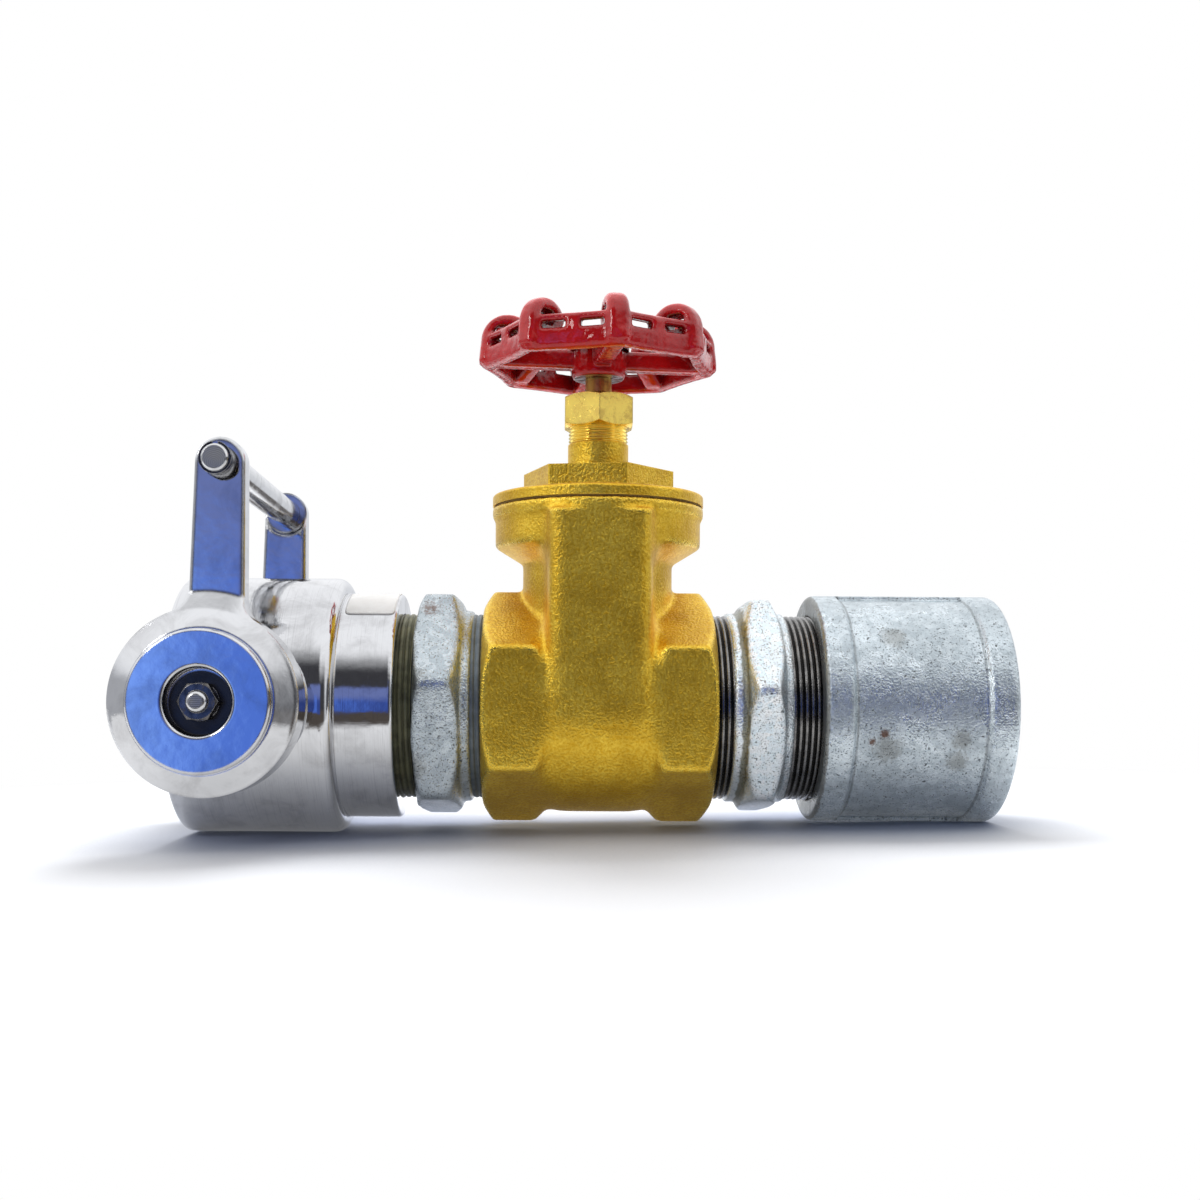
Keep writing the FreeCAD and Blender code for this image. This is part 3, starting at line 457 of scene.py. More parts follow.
zinc = {
    "colour": (0.38, 0.43, 0.46),
    "pale": (0.58, 0.635, 0.665),
    "dull": (0.21, 0.24, 0.255),
    "speck": (0.03, 0.03, 0.03),
    "rust": (0.13, 0.05, 0.018),
    "grime": (0.15, 0.135, 0.105),
    "olive": (0.145, 0.13, 0.055),
    # painted shade colour for the corners of the raised bands
    "dirtAndShade": (0.12, 0.125, 0.125),
    "grain": {"Speckle_Size": 0.85, "Mottle_Size": 20.0, "Lump_Share": 0.45},
    "flakeScale": 420.0,
    "flakeShare": 0.7,
    "pits": ((560.0, 0.67, 0.73), (1500.0, 0.61, 0.69)),        # a few deep ones, many fine ones
    "share": {"pits": 0.75, "grime": 0.45, "rust": 0.85, "bands": 0.45, "end": 0.65, "paste": 0.8},
    "depth": (0.36, 0.9),
}
coats = {                   # stains are a centre, a reach and a grain in millimetres
    "zincSocket": {
        "tone": 1.50, "rough": (0.24, 0.38), "dull": 0.40, "soft": 0.8,
        "rusty": (((-51.5, -43.5, -9.0), 3.6, 0.7), ((-56.0, -42.0, -12.0), 3.0, 0.7)),
        "grimy": (((-22.0, -42.5, -11.0), 8.0, 1.2), ((-23.0, -40.5, -20.0), 9.0, 1.2),
                  ((-50.0, -42.0, -15.0), 11.0, 1.4), ((-46.0, -34.0, 28.0), 10.0, 1.4)),
        "dirtyEnd": (socketEnd - 1.0, socketEnd + 1.6),
        "bands": ((socketEnd + 11.6, socketEnd + 12.9), (-12.9, -11.6)),
    },
    "zincPipeNipple": {
        "tone": 2.1, "rough": (0.15, 0.24), "dull": 0.12, "soft": 3.0,
        "sealed": (-105.0, -101.6),
    },
    "zincCouplingNipple": {
        "tone": 1.25, "rough": (0.10, 0.20), "dull": 0.30, "soft": 3.0,
        "rusty": (((-226.0, -24.0, 42.0), 11.0, 1.8), ((-230.0, -36.0, 30.0), 7.0, 1.4)),
        "grimy": (((-231.0, -44.0, 10.0), 12.0, 2.2), ((-231.0, -38.0, -24.0), 12.0, 2.2)),
    },
}


def zincCoat(name, tone, rough, dull, soft, rusty=(), grimy=(), sealed=None, dirtyEnd=None, bands=()):
    material, tree, skin = newFinish(name, {"Metallic": 0.88})
    grain = effect(tree, castGrain, **zinc["grain"])
    spot = here(tree)
    flakes = put(tree, "TexVoronoi", {"Vector": spot, "Scale": zinc["flakeScale"], "Randomness": 1.0})
    shade = put(tree, "SeparateColor", {0: flakes.outputs["Color"]}).outputs[0]
    toned = {key: [min(1.0, tone * c) for c in zinc[key]] for key in ("colour", "pale", "dull")}
    share = zinc["share"]
    colour = tint(tree, times(tree, shade, zinc["flakeShare"]), toned["colour"], toned["pale"])
    colour = tint(tree, times(tree, grain["Mottle"], dull), colour, toned["dull"])
    pitted = None
    for scale, low, high in zinc["pits"]:
        mask = ramp(tree, noise(tree, spot, scale, 2.0, Roughness=0.6), low, high)
        pitted = mask if pitted is None else calc(tree, "MAXIMUM", pitted, mask)
    colour = tint(tree, times(tree, pitted, share["pits"]), colour, zinc["speck"])
    for stains, key in ((grimy, "grime"), (rusty, "rust")):
        for centre, reach, size in stains:
            mask = effect(tree, stain, Centre=centre, Reach=reach, Grain=size)["Mask"]
            colour = tint(tree, times(tree, mask, share[key]), colour, zinc[key])
    for low, high in bands:      # painted shade in the corner where a raised band ends
        corner = effect(tree, alongPipe, From=low, To=high, Soft=0.35, Ragged=0.8)["Mask"]
        colour = tint(tree, times(tree, corner, share["bands"]), colour, zinc["dirtAndShade"])
    if dirtyEnd:            # the sawn end face keeps its dirt
        dirtAndShade = effect(tree, alongPipe, From=dirtyEnd[0], To=dirtyEnd[1], Soft=0.5, Ragged=1.6)["Mask"]
        colour = tint(tree, times(tree, dirtAndShade, share["end"]), colour, zinc["grime"])
    if sealed:              # jointing paste squeezed out along the hexagon's edge
        paste = effect(tree, alongPipe, From=sealed[0], To=sealed[1], Soft=0.7, Ragged=2.2)["Mask"]
        colour = tint(tree, times(tree, paste, share["paste"]), colour, zinc["olive"])
    dress(tree, skin, colour, ramp(tree, grain["Mottle"], 0.0, 1.0, *rough))
    edge = effect(tree, edgeRub, Width=soft, Grain=1.0)
    bump(tree, skin, calc(tree, "SUBTRACT", grain["Height"], pitted), *zinc["depth"], edge["Rounded"])
    return material


threadSkin = {
    "bare": {"deep": (0.035, 0.034, 0.033), "crest": (0.27, 0.263, 0.257), "metal": 0.95, "rough": 0.14},
    "olive": {"deep": (0.03, 0.032, 0.018), "crest": (0.19, 0.185, 0.10), "metal": 0.2, "rough": 0.36},
    "putty": {"deep": (0.085, 0.105, 0.125), "crest": (0.20, 0.235, 0.26), "metal": 0.5, "rough": 0.42},
}
threadWear = {
    "crestSpan": (0.0364, 0.0374),      # radius from the dark root to the rubbed crest, in metres
    "mottle": (0.5, 1.0),
    "roughSpread": 0.18,
    "grain": {"Speckle_Size": 0.7, "Mottle_Size": 6.0, "Lump_Share": 0.6},
    "depth": (0.06, 0.5),
}


def threadCoat(name, key):
    look = threadSkin[key]
    material, tree, skin = newFinish(name, {"Metallic": look["metal"]})
    grain = effect(tree, castGrain, **threadWear["grain"])
    y, z = put(tree, "SeparateXYZ", {0: here(tree)}).outputs[1:]
    radius = calc(tree, "SQRT", calc(tree, "ADD", times(tree, y, y), times(tree, z, z)))
    patchy = ramp(tree, grain["Mottle"], 0.0, 1.0, *threadWear["mottle"])
    mask = times(tree, ramp(tree, radius, *threadWear["crestSpan"]), patchy)
    roughest = look["rough"] + threadWear["roughSpread"]
    rough = ramp(tree, grain["Speckle"], 0.0, 1.0, look["rough"], roughest)
    dress(tree, skin, tint(tree, mask, look["deep"], look["crest"]), rough)
    bump(tree, skin, grain["Height"], *threadWear["depth"])
    return material


cutBrass = {
    "colour": (0.99, 0.74, 0.16),
    "tarnish": (0.30, 0.15, 0.06),
    "rough": (0.26, 0.40),
    "wear": {"Smudge_Size": 5.0, "Scratch_Size": 0.9},
    "smudgeShare": 0.4,
    "depth": (0.04, 0.4),
}
brass = {
    "colour": (0.78, 0.455, 0.028),
    "pale": (1.0, 0.70, 0.085),
    "deep": (0.52, 0.275, 0.014),
    "deepShare": 0.5,
    # lighter edges: partly rubbed bare brass, partly a painted highlight
    "rubAndHighlight": (1.0, 0.78, 0.15),
    "rubAndHighlightShare": 0.3,
    "rough": (0.20, 0.36),
    "grain": {"Speckle_Size": 0.95, "Mottle_Size": 16.0, "Lump_Share": 0.6},
    "depth": (0.42, 0.85),
    "cutSpan": (107.8, 108.1),      # height where the bonnet's machined thread starts, in millimetres
    "cutShine": 0.16,
    "valveEdge": 1.8,
    "bonnetEdge": 0.6,
}


def blastedBrass(name, fineMesh, edgeWidth):
    material, tree, skin = newFinish(name, {"Metallic": 1.0})
    grain = effect(tree, castGrain, **brass["grain"])
    colour = tint(tree, grain["Speckle"], brass["colour"], brass["pale"])
    colour = tint(tree, times(tree, grain["Mottle"], brass["deepShare"]), colour, brass["deep"])
    edge = effect(tree, edgeRub, Width=edgeWidth, Grain=1.2)
    worn = effect(tree, castEdge)["Mask"] if fineMesh else edge["Mask"]
    # lighter edges: partly rubbed bare brass, partly a painted highlight
    colour = tint(tree, times(tree, worn, brass["rubAndHighlightShare"]), colour, brass["rubAndHighlight"])
    height = put(tree, "SeparateXYZ", {0: hereInMm(tree)}).outputs[2]
    cut = ramp(tree, height, *brass["cutSpan"])
    shine = ramp(tree, worn, 1.0, 0.0, *brass["rough"])
    shine = calc(tree, "SUBTRACT", shine, times(tree, cut, brass["cutShine"]))
    dress(tree, skin, tint(tree, cut, colour, cutBrass["colour"]), shine)
    rise = times(tree, grain["Height"], calc(tree, "SUBTRACT", 1.0, cut))
    bump(tree, skin, rise, *brass["depth"], edge["Rounded"])
    return material


def turnedBrass(name, tarnish):
    material, tree, skin = newFinish(name, {"Metallic": 1.0})
    wear = effect(tree, handling, **cutBrass["wear"])
    mask = calc(tree, "ADD", times(tree, wear["Smudge"], cutBrass["smudgeShare"]), tarnish, clamp=True)
    colour = tint(tree, mask, cutBrass["colour"], cutBrass["tarnish"])
    dress(tree, skin, colour, ramp(tree, mask, 0.0, 1.0, *cutBrass["rough"]))
    edge = effect(tree, edgeRub, Width=0.6, Grain=1.0)
    bump(tree, skin, wear["Scratch"], *cutBrass["depth"], edge["Rounded"])
    return material


enamel = {
    "colour": (0.90, 0.014, 0.017),
    "deep": (0.46, 0.003, 0.006),
    "deepShare": 0.5,
    # painted shade colour where the wheel's own rim and spokes shelter it
    "dirtAndShade": (0.16, 0.002, 0.003),
    "shelter": 45.0,
    "shelterSpan": (0.35, 0.85),
    "rough": (0.06, 0.15),
    "grain": {"Speckle_Size": 3.2, "Mottle_Size": 12.0, "Lump_Share": 2.2},
    "depth": (0.42, 0.6),
    "gloss": {"Specular IOR Level": 0.4, "Coat Weight": 0.35, "Coat Roughness": 0.03},
}


def redEnamel():
    material, tree, skin = newFinish("redEnamel", enamel["gloss"])
    grain = effect(tree, castGrain, **enamel["grain"])
    colour = tint(tree, times(tree, grain["Mottle"], enamel["deepShare"]), enamel["colour"], enamel["deep"])
    # painted shade: the red darkens where the wheel's own rim and spokes occlude it
    sheltered = put(tree, "AmbientOcclusion", {"Distance": enamel["shelter"] * mm}, samples=8).outputs["AO"]
    colour = tint(tree, ramp(tree, sheltered, *enamel["shelterSpan"]), enamel["dirtAndShade"], colour)
    dress(tree, skin, colour, ramp(tree, grain["Speckle"], 0.0, 1.0, *enamel["rough"]))
    bump(tree, skin, grain["Height"], *enamel["depth"])
    return material


seals = {
    "blackRubber": {"colour": (0.02, 0.02, 0.02), "worn": (0.05, 0.05, 0.05), "rough": (0.5, 0.65)},
    "fibreGasket": {"colour": (0.34, 0.22, 0.06), "worn": (0.20, 0.12, 0.04), "rough": (0.7, 0.85)},
    "grain": {"Speckle_Size": 0.5, "Mottle_Size": 6.0, "Lump_Share": 0.5},
    "depth": (0.08, 0.5),
}


def plainSeal(name):
    look = seals[name]
    material, tree, skin = newFinish(name, {})
    grain = effect(tree, castGrain, **seals["grain"])
    rough = ramp(tree, grain["Speckle"], 0.0, 1.0, *look["rough"])
    dress(tree, skin, tint(tree, grain["Mottle"], look["colour"], look["worn"]), rough)
    bump(tree, skin, grain["Height"], *seals["depth"])
    return material


finishes = {                # one for each slot of the record
    "polished_steel": polishedSteel("polishedSteel", polished["rough"], False, polished["armEdge"]),
    "bright_steel": brightSteel(),
    "dark_steel": darkSteel("darkSteel", lighter=1.0),
    "galvanised_iron": zincCoat("zincSocket", **coats["zincSocket"]),
    "blasted_brass": blastedBrass("blastedBrass", True, brass["valveEdge"]),
    "turned_brass": turnedBrass("turnedBrass", tarnish=0.05),
    "red_enamel": redEnamel(),
    "black_rubber": plainSeal("blackRubber"),
    "fibre_gasket": plainSeal("fibreGasket"),
}
special = {                 # pieces that differ from the rest of their slot
    "bonnet": blastedBrass("bonnetBrass", False, brass["bonnetEdge"]),
    "coupling_body": polishedSteel("turnedSteel", polished["turnedRough"], True, polished["barrelEdge"]),
    "pipe_nipple": zincCoat("zincPipeNipple", **coats["zincPipeNipple"]),
    "coupling_nipple": zincCoat("zincCouplingNipple", **coats["zincCouplingNipple"]),
    "stem": turnedBrass("tarnishedStem", tarnish=0.55),
}
for side in ("front", "rear"):      # the latch's nut and washer are cleaner than the rod's clips
    latchSteel = darkSteel(side + "LatchSteel", dark["cleaner"])
    special[side + "_plunger_nut"] = latchSteel
    special[side + "_plunger_washer"] = latchSteel
slotOf = {row["node"]: row["material_slot"] for row in frame["record"]["subparts"]}
for name, piece in nodes.items():
    piece.data.materials.clear()
    piece.data.materials.append(special.get(name, finishes[slotOf[name]]))
print("finishes on", len(nodes), "pieces")


# castings whose corners the foundry leaves soft
def shapeOf(piece):
    bpy.context.view_layer.update()
    return piece.evaluated_get(bpy.context.evaluated_depsgraph_get())


def settle(piece):          # turns the modifiers so far into plain mesh
    mesh = bpy.data.meshes.new_from_object(shapeOf(piece))
    piece.modifiers.clear()
    piece.data = mesh
    return mesh


def soften(piece, name, passes):
    smooth = piece.modifiers.new(name, "SMOOTH")
    smooth.iterations = passes
    smooth.factor = 0.5
    return smooth


def softCast(name, node, body, cell, passes, triangles, swell=0.0, prepare=None, melt=None):
    source = nodes[node]
    piece = bpy.data.objects.new(name, source.data.copy())
    scene.collection.objects.link(piece)
    if prepare:
        prepare(piece.data)
    weld = piece.modifiers.new("weld", "WELD")
    weld.merge_threshold = 1e-6
    grid = piece.modifiers.new("grid", "REMESH")
    grid.mode = "VOXEL"
    grid.voxel_size = cell * mm
    grid.use_smooth_shade = True
    if swell:
        fat = piece.modifiers.new("fat", "DISPLACE")
        fat.strength = swell * mm
        fat.mid_level = 0.0
    soften(piece, "soften", passes)
    if melt:                # some of the skin rounder than the rest
        mesh = settle(piece)
        group = piece.vertex_groups.new(name="melt")
        for vert in mesh.vertices:
            share = melt["where"](vert.co)
            if share > 0:
                group.add([vert.index], share, "REPLACE")
        soften(piece, "melt", melt["passes"]).vertex_group = "melt"
    count = len(shapeOf(piece).data.polygons) * 2
    if count > triangles:
        thin = piece.modifiers.new("thin", "DECIMATE")
        thin.ratio = triangles / count
    mesh = settle(piece)
    low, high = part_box(node)
    for vert in mesh.vertices:      # never outside the solid's own box
        vert.co = [min(max(c, a), b) for c, a, b in zip(vert.co, low, high)]
    mesh.shade_smooth()
    mesh.materials.clear()
    mesh.materials.append(source.data.materials[0])
    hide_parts(node)
    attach(piece, body)
    print(name, "softened:", count, "triangles before thinning")


thread = {"crest": 37.55, "root": 36.25, "pitch": 2.309, "land": 0.34, "round": 160, "perPitch": 12,
          "under": 35.4, "margin": 0.4}
exposed = {                 # lengths of thread in view, each with one end hidden in its neighbour
    "socketThread": {"low": socketEnd - 10.7, "high": socketEnd + 2.0, "hidden": "high", "skin": "bare",
                     "depth": 1.0},
    "valveThread": {"low": valveRight - 2.0, "high": valveRight + 6.2, "hidden": "low", "skin": "bare",
                    "depth": 1.0},
    "sealedThread": {"low": valveLeft - 4.2, "high": valveLeft + 2.0, "hidden": "high", "skin": "putty",
                     "depth": 0.35},
    "couplingThread": {"low": couplingEnd - 2.0, "high": couplingEnd + 6.1, "hidden": "low", "skin": "olive",
                       "depth": 0.55},
}


def bareUnder(*names):      # takes the plain rings off a nipple where a real thread goes on
    zones = []
    for name in names:
        row = exposed[name]
        if row["hidden"] == "low":
            zones.append((row["low"] - thread["margin"], row["high"]))
        else:
            zones.append((row["low"], row["high"] + thread["margin"]))

    def prepare(mesh):
        for vert in mesh.vertices:
            x = vert.co.x * 1000
            r = math.hypot(vert.co.y, vert.co.z)
            if r > thread["under"] * mm and any(low < x < high for low, high in zones):
                vert.co.y *= thread["under"] * mm / r
                vert.co.z *= thread["under"] * mm / r
    return prepare


def pipeThread(name):
    low, high = exposed[name]["low"], exposed[name]["high"]
    depth = exposed[name]["depth"]
    bm = bmesh.new()
    across = int((high - low) / thread["pitch"] * thread["perPitch"]) + 1
    rows = []
    for k in range(across + 1):
        x = low + (high - low) * k / across
        row = []
        for j in range(thread["round"]):
            turn = j / thread["round"]
            phase = (x / thread["pitch"] + turn) % 1.0       # right-handed
            slope = max(0.0, abs(2 * phase - 1) - thread["land"]) / (1 - thread["land"])
            r = thread["crest"] - depth * (thread["crest"] - thread["root"]) * slope
            a = 2 * math.pi * turn
            row.append(bm.verts.new((x * mm, -r * math.cos(a) * mm, r * math.sin(a) * mm)))
        rows.append(row)
    for k in range(across):
        for j in range(thread["round"]):
            i = (j + 1) % thread["round"]
            bm.faces.new((rows[k][j], rows[k][i], rows[k + 1][i], rows[k + 1][j]))
    bmesh.ops.recalc_face_normals(bm, faces=bm.faces)
    mesh = bpy.data.meshes.new(name)
    bm.to_mesh(mesh)
    bm.free()
    mesh.shade_smooth()
    mesh.materials.append(threadCoat(name + "Coat", exposed[name]["skin"]))
    piece = bpy.data.objects.new(name, mesh)
    scene.collection.objects.link(piece)
    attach(piece, "adapter")


trunk = {"side": 16.5, "front": 37.5, "skin": 1.5, "hexagon": 27.0, "hexFade": 6.0, "flange": 75.5,
         "flangeFade": 4.0}


def trunkSkin(spot):        # the outside of the valve's trunk, between the hexagons and under the flange
    x = abs(spot.x * 1000 - (valveLeft + valveRight) / 2)
    z = spot.z * 1000
    reach = math.hypot(spot.y * 1000, min(z, 0.0))
    outside = max(x - trunk["side"], reach - trunk["front"]) / trunk["skin"]
    zone = min((trunk["hexagon"] - x) / trunk["hexFade"], (trunk["flange"] - z) / trunk["flangeFade"])
    return max(0.0, min(1.0, outside, zone))


castings = {                # cell and swell in millimetres
    "castHandwheel": {"node": "handwheel", "body": "wheel", "cell": 0.55, "passes": 14, "triangles": 150000,
                      "swell": 0.55},
    "castValve": {"node": "valve_body", "body": "adapter", "cell": 0.85, "passes": 8, "triangles": 170000,
                  "melt": {"where": trunkSkin, "passes": 110}},
    "castSocket": {"node": "pipe_socket", "body": "adapter", "cell": 0.6, "passes": 3, "triangles": 150000},
    "castPipeNipple": {"node": "pipe_nipple", "body": "adapter", "cell": 0.8, "passes": 5, "triangles": 90000,
                       "prepare": bareUnder("socketThread", "valveThread")},
    "castCouplingNipple": {"node": "coupling_nipple", "body": "adapter", "cell": 0.8, "passes": 6,
                           "triangles": 90000, "prepare": bareUnder("sealedThread", "couplingThread")},
}
for name, values in castings.items():
    softCast(name, **values)
for name in exposed:
    pipeThread(name)
print("castings and threads made")


# the latch springs, copied onto the adapter, stay put at the retainer's end
def latchSpring(side):
    node = side + "_spring"
    piece = bpy.data.objects.new(side + "Coil", nodes[node].data.copy())
    scene.collection.objects.link(piece)
    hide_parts(node)
    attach(piece, "adapter")
    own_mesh(piece)


latchSpring("front")
latchSpring("rear")


# blank sticker on the coupling's neck, in millimetres and degrees
label = {
    "low": -259.3,
    "high": -239.6,
    "from": 51.5,
    "to": 91.0,
    "corner": 2.4,
    "radius": 45.63,
    "film": 0.12,
    "steps": 24,
    "colour": (0.80, 0.80, 0.79),
    "worn": (0.62, 0.61, 0.58),
    "wornShare": 0.4,
    "rough": (0.28, 0.42),
    "grain": {"Speckle_Size": 0.6, "Mottle_Size": 8.0, "Lump_Share": 0.4},
    "depth": (0.02, 0.5),
}


def labelVinyl():
    material, tree, skin = newFinish("labelVinyl", {"Coat Weight": 0.25})
    grain = effect(tree, castGrain, **label["grain"])
    colour = tint(tree, times(tree, grain["Mottle"], label["wornShare"]), label["colour"], label["worn"])
    dress(tree, skin, colour, ramp(tree, grain["Speckle"], 0.0, 1.0, *label["rough"]))
    bump(tree, skin, grain["Height"], *label["depth"])
    return material


def neckLabel():
    halfX = (label["high"] - label["low"]) / 2
    halfS = math.radians(label["to"] - label["from"]) / 2 * label["radius"]
    midX = (label["low"] + label["high"]) / 2
    midA = math.radians(label["from"] + label["to"]) / 2
    r = label["radius"]
    bm = bmesh.new()
    rows = []
    for i in range(label["steps"] + 1):
        row = []
        for j in range(label["steps"] + 1):
            s = (2 * i / label["steps"] - 1) * halfX
            t = (2 * j / label["steps"] - 1) * halfS
            ds = abs(s) - halfX + label["corner"]
            dt = abs(t) - halfS + label["corner"]
            if ds > 0 and dt > 0:       # pull the square corner in to a round one
                k = max(ds, dt) / math.hypot(ds, dt)
                s = math.copysign(halfX - label["corner"] + ds * k, s)
                t = math.copysign(halfS - label["corner"] + dt * k, t)
            a = midA + t / r
            row.append(bm.verts.new(((midX + s) * mm, -r * math.cos(a) * mm, r * math.sin(a) * mm)))
        rows.append(row)
    for i in range(label["steps"]):
        for j in range(label["steps"]):
            bm.faces.new((rows[i][j], rows[i + 1][j], rows[i + 1][j + 1], rows[i][j + 1]))
    mesh = bpy.data.meshes.new("neckLabel")
    bm.to_mesh(mesh)
    bm.free()
    mesh.shade_smooth()
    mesh.materials.append(labelVinyl())
    piece = bpy.data.objects.new("neckLabel", mesh)
    scene.collection.objects.link(piece)
    film = piece.modifiers.new("film", "SOLIDIFY")
    film.thickness = label["film"] * mm
    film.offset = 1.0
    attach(piece, "adapter")


neckLabel()
print("label on")


# stage: a white paper floor, and the room that bright metal mirrors, in metres
stage = {
    "floorAt": -0.0519,
    "floorRise": 1.25,
    "pivot": -0.29,
    "middle": -0.16,
    "half": 1.6,
    "steps": 8,
    "rough": 0.6,
    "paper": (0.90, 0.92, 0.955),
    # painted contact shadow on the paper: its colour, reach and span
    "contactShadow": (0.32, 0.36, 0.48),
    "contactShadowReach": 0.22,
    "contactShadowSpan": (0.20, 1.0),
    "bounce": 0.45,
    "fadeMiddle": -0.17,
    "fadeSquash": 0.8,
    "fade": (0.24, 0.40),
    "mirrorLift": (0.13, 0.74),
    "liftSpan": (-0.02, -0.10),
    "farFloorInMirrors": (0.17, 0.16, 0.16),
    "farSpan": (0.40, 0.62),
    "glossFront": (-0.15, -0.20),
}


def floorMesh():
    bm = bmesh.new()
    steps, half = stage["steps"], stage["half"]
    slope = math.tan(math.radians(stage["floorRise"]))
    rows = []
    for i in range(steps + 1):
        x = stage["middle"] - half + 2 * half * i / steps
        z = stage["floorAt"] + slope * (x - stage["pivot"])     # touches the barrel and the socket
        rows.append([bm.verts.new((x, -half + 2 * half * j / steps, z)) for j in range(steps + 1)])
    for i in range(steps):
        for j in range(steps):
            bm.faces.new((rows[i][j], rows[i + 1][j], rows[i + 1][j + 1], rows[i][j + 1]))
    mesh = bpy.data.meshes.new("paperFloor")
    bm.to_mesh(mesh)
    bm.free()
    return mesh


def whitePaper():
    material, tree, skin = newFinish("whitePaper", {"Roughness": stage["rough"]})
    rays = put(tree, "LightPath").outputs
    # painted contact shadow: the paper darker and bluer where the object occludes it
    near = put(tree, "AmbientOcclusion", {"Distance": stage["contactShadowReach"]}, samples=8).outputs["AO"]
    paper = tint(tree, ramp(tree, near, *stage["contactShadowSpan"]), stage["contactShadow"], stage["paper"])
    bounced = [stage["bounce"] * c for c in stage["paper"]]
    tree.links.new(tint(tree, rays["Is Diffuse Ray"], paper, bounced), skin.inputs["Base Color"])
    x, y = put(tree, "SeparateXYZ", {0: here(tree)}).outputs[:2]
    dx = times(tree, calc(tree, "SUBTRACT", x, stage["fadeMiddle"]), stage["fadeSquash"])
    away = calc(tree, "SQRT", calc(tree, "ADD", times(tree, dx, dx), times(tree, y, y)))
    toCamera = times(tree, ramp(tree, away, *stage["fade"]), rays["Is Camera Ray"])
    lit = ramp(tree, y, *stage["liftSpan"], *stage["mirrorLift"])    # mirrors see its front brighter
    lift = calc(tree, "MAXIMUM", toCamera, times(tree, lit, rays["Is Glossy Ray"]))
    glow = put(tree, "Emission", {"Color": (1, 1, 1, 1), "Strength": 1.0})
    seen = put(tree, "MixShader", {0: lift, 1: skin.outputs[0], 2: glow.outputs[0]})
    # painted reflection: mirrors see the paper's far part as a dim glow
    behind = times(tree, ramp(tree, y, *stage["farSpan"]), rays["Is Glossy Ray"])
    dim = put(tree, "Emission", {"Color": (*stage["farFloorInMirrors"], 1), "Strength": 1.0})
    seen = put(tree, "MixShader", {0: behind, 1: seen.outputs[0], 2: dim.outputs[0]})
    cut = times(tree, ramp(tree, y, *stage["glossFront"]), rays["Is Glossy Ray"])    # and past its front edge
    clear = put(tree, "BsdfTransparent")
    seen = put(tree, "MixShader", {0: cut, 1: seen.outputs[0], 2: clear.outputs[0]})
    tree.links.new(seen.outputs[0], tree.nodes["Material Output"].inputs["Surface"])
    return material


def makeFloor():
    floor = bpy.data.objects.new("paperFloor", floorMesh())
    scene.collection.objects.link(floor)
    floor.data.materials.append(whitePaper())


room = {
    "blueLeft": (0.28, 0.53, 1.38),
    "blue": (0.112, 0.245, 0.90),
    "navy": (0.05, 0.09, 0.36),
    "blueTop": (0.19, 0.245, 0.56),
    "brown": (0.10, 0.085, 0.075),
    "dim": (0.062, 0.062, 0.070),
    "side": (0.80, 0.82, 0.86),
    "table": (0.85, 0.85, 0.86),
    "tent": (1.22, 1.23, 1.25),
    "doorway": (0.52, 0.53, 0.56),
    "corner": (0.10, 0.10, 0.11),
    "shade": (0.10, 0.105, 0.13),
    "daylight": (1.2, 1.18, 1.15),
    "rippleScale": 2.2,
    "ripple": 0.10,
    "lightTilt": (0.62, 0.78),      # share of up and of behind in where the daylight comes from
}
meets = {                   # where two of them meet, as a part of a ray's direction
    "table": (-0.42, -0.32),
    "brown": (-0.10, -0.04),
    "bluePale": (-0.33, -0.21),
    "blueDark": (-0.20, -0.11),
    "blueTop": (0.04, 0.20),
    "wallLeft": (-0.52, -0.42),
    "wallRight": (0.30, 0.16),
    "wallFoot": (-0.14, -0.10),
    "wallHead": (0.34, 0.27),
    "tentDrop": (-0.10, 0.12, 0.0, 0.24),
    "tent": (0.53, 0.95),
    "side": (0.0, 0.55),
    "doorway": (-0.62, -0.80),
    "corner": (0.89, 0.96),
    "lowFoot": (-0.20, -0.12),
    "lowHead": (0.32, 0.20),
    "front": (0.45, 0.72),
    "daylight": (-0.15, 0.75),
}


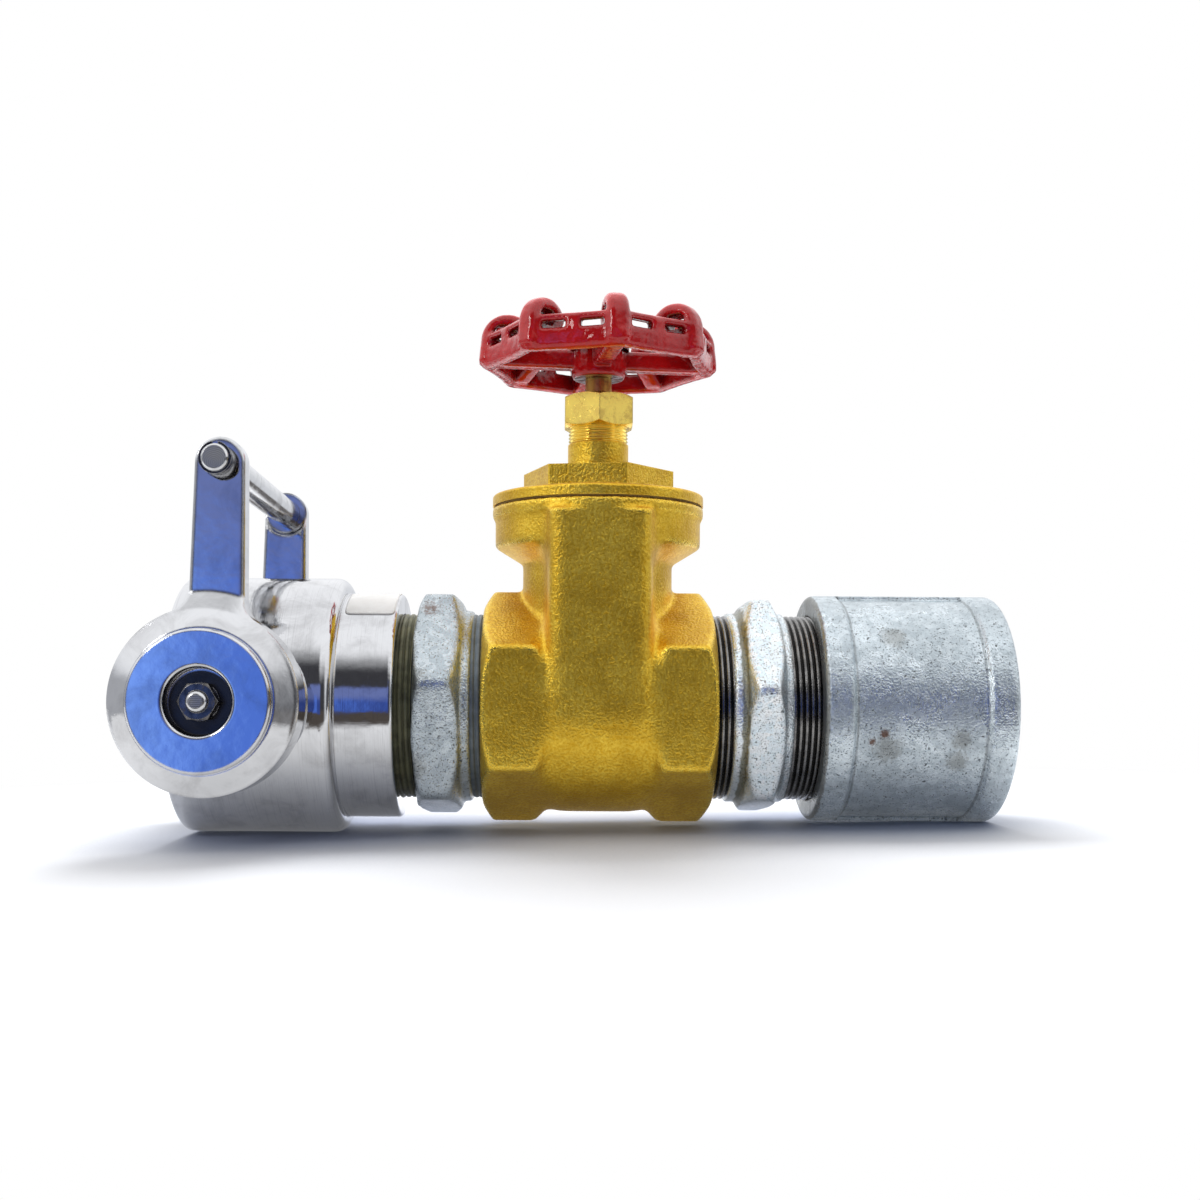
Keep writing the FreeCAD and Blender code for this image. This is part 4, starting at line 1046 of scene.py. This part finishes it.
def makeRoom():             # white tent above, and a dim room with a blue wall before the bench
    world = bpy.data.worlds.new("tent")
    scene.world = world
    world.use_nodes = True
    tree = world.node_tree
    back = tree.nodes["Background"]
    ray = put(tree, "TexCoord").outputs["Generated"]
    x, y, z = put(tree, "SeparateXYZ", {0: ray}).outputs
    ripple = calc(tree, "SUBTRACT", noise(tree, ray, room["rippleScale"], 2.0), 0.5)
    level = calc(tree, "ADD", z, times(tree, ripple, room["ripple"]))

    def step(value, key):
        return ramp(tree, value, *meets[key])

    front = tint(tree, step(level, "table"), room["table"], room["brown"])
    front = tint(tree, step(level, "brown"), front, room["dim"])
    wall = tint(tree, step(x, "bluePale"), room["blueLeft"], room["blue"])
    wall = tint(tree, step(x, "blueDark"), wall, room["navy"])
    wall = tint(tree, step(level, "blueTop"), wall, room["blueTop"])
    span = times(tree, step(x, "wallLeft"), step(x, "wallRight"))
    rise = times(tree, step(level, "wallFoot"), step(level, "wallHead"))
    front = tint(tree, times(tree, span, rise), front, wall)
    toTent = calc(tree, "ADD", level, step(x, "tentDrop"))       # the tent hangs lower on the right
    front = tint(tree, step(toTent, "tent"), front, room["tent"])
    around = tint(tree, step(level, "side"), room["side"], room["tent"])
    low = times(tree, step(level, "lowFoot"), step(level, "lowHead"))
    around = tint(tree, times(tree, step(x, "doorway"), low), around, room["doorway"])
    around = tint(tree, times(tree, step(x, "corner"), low), around, room["corner"])
    mirror = tint(tree, step(times(tree, y, -1.0), "front"), around, front)
    up, behind = room["lightTilt"]
    high = calc(tree, "ADD", times(tree, z, up), times(tree, y, behind))
    soft = tint(tree, step(high, "daylight"), room["shade"], room["daylight"])
    rays = put(tree, "LightPath").outputs
    light = tint(tree, rays["Is Glossy Ray"], soft, mirror)
    light = tint(tree, rays["Is Camera Ray"], light, (1.0, 1.0, 1.0))
    tree.links.new(light, back.inputs["Color"])
    back.inputs["Strength"].default_value = 1.0


lamps = {
    "overhead": {"spot": (-0.20, 0.64, 0.87), "size": 0.50, "power": 12.5, "mirrored": False},
    "leftFront": {"spot": (-0.95, -0.75, 0.55), "size": 0.26, "power": 1.8, "mirrored": True},
}
lampAim = Vector((-0.17, 0, 0.02))


def makeLamps():
    for name, values in lamps.items():
        data = bpy.data.lights.new(name, "AREA")
        data.size = values["size"]
        data.energy = values["power"]
        lamp = bpy.data.objects.new(name, data)
        lamp.location = values["spot"]
        lamp.visible_glossy = values["mirrored"]
        lamp.rotation_euler = (lampAim - Vector(values["spot"])).to_track_quat("-Z", "Y").to_euler()
        scene.collection.objects.link(lamp)


makeFloor()
makeRoom()
makeLamps()
print("stage set")
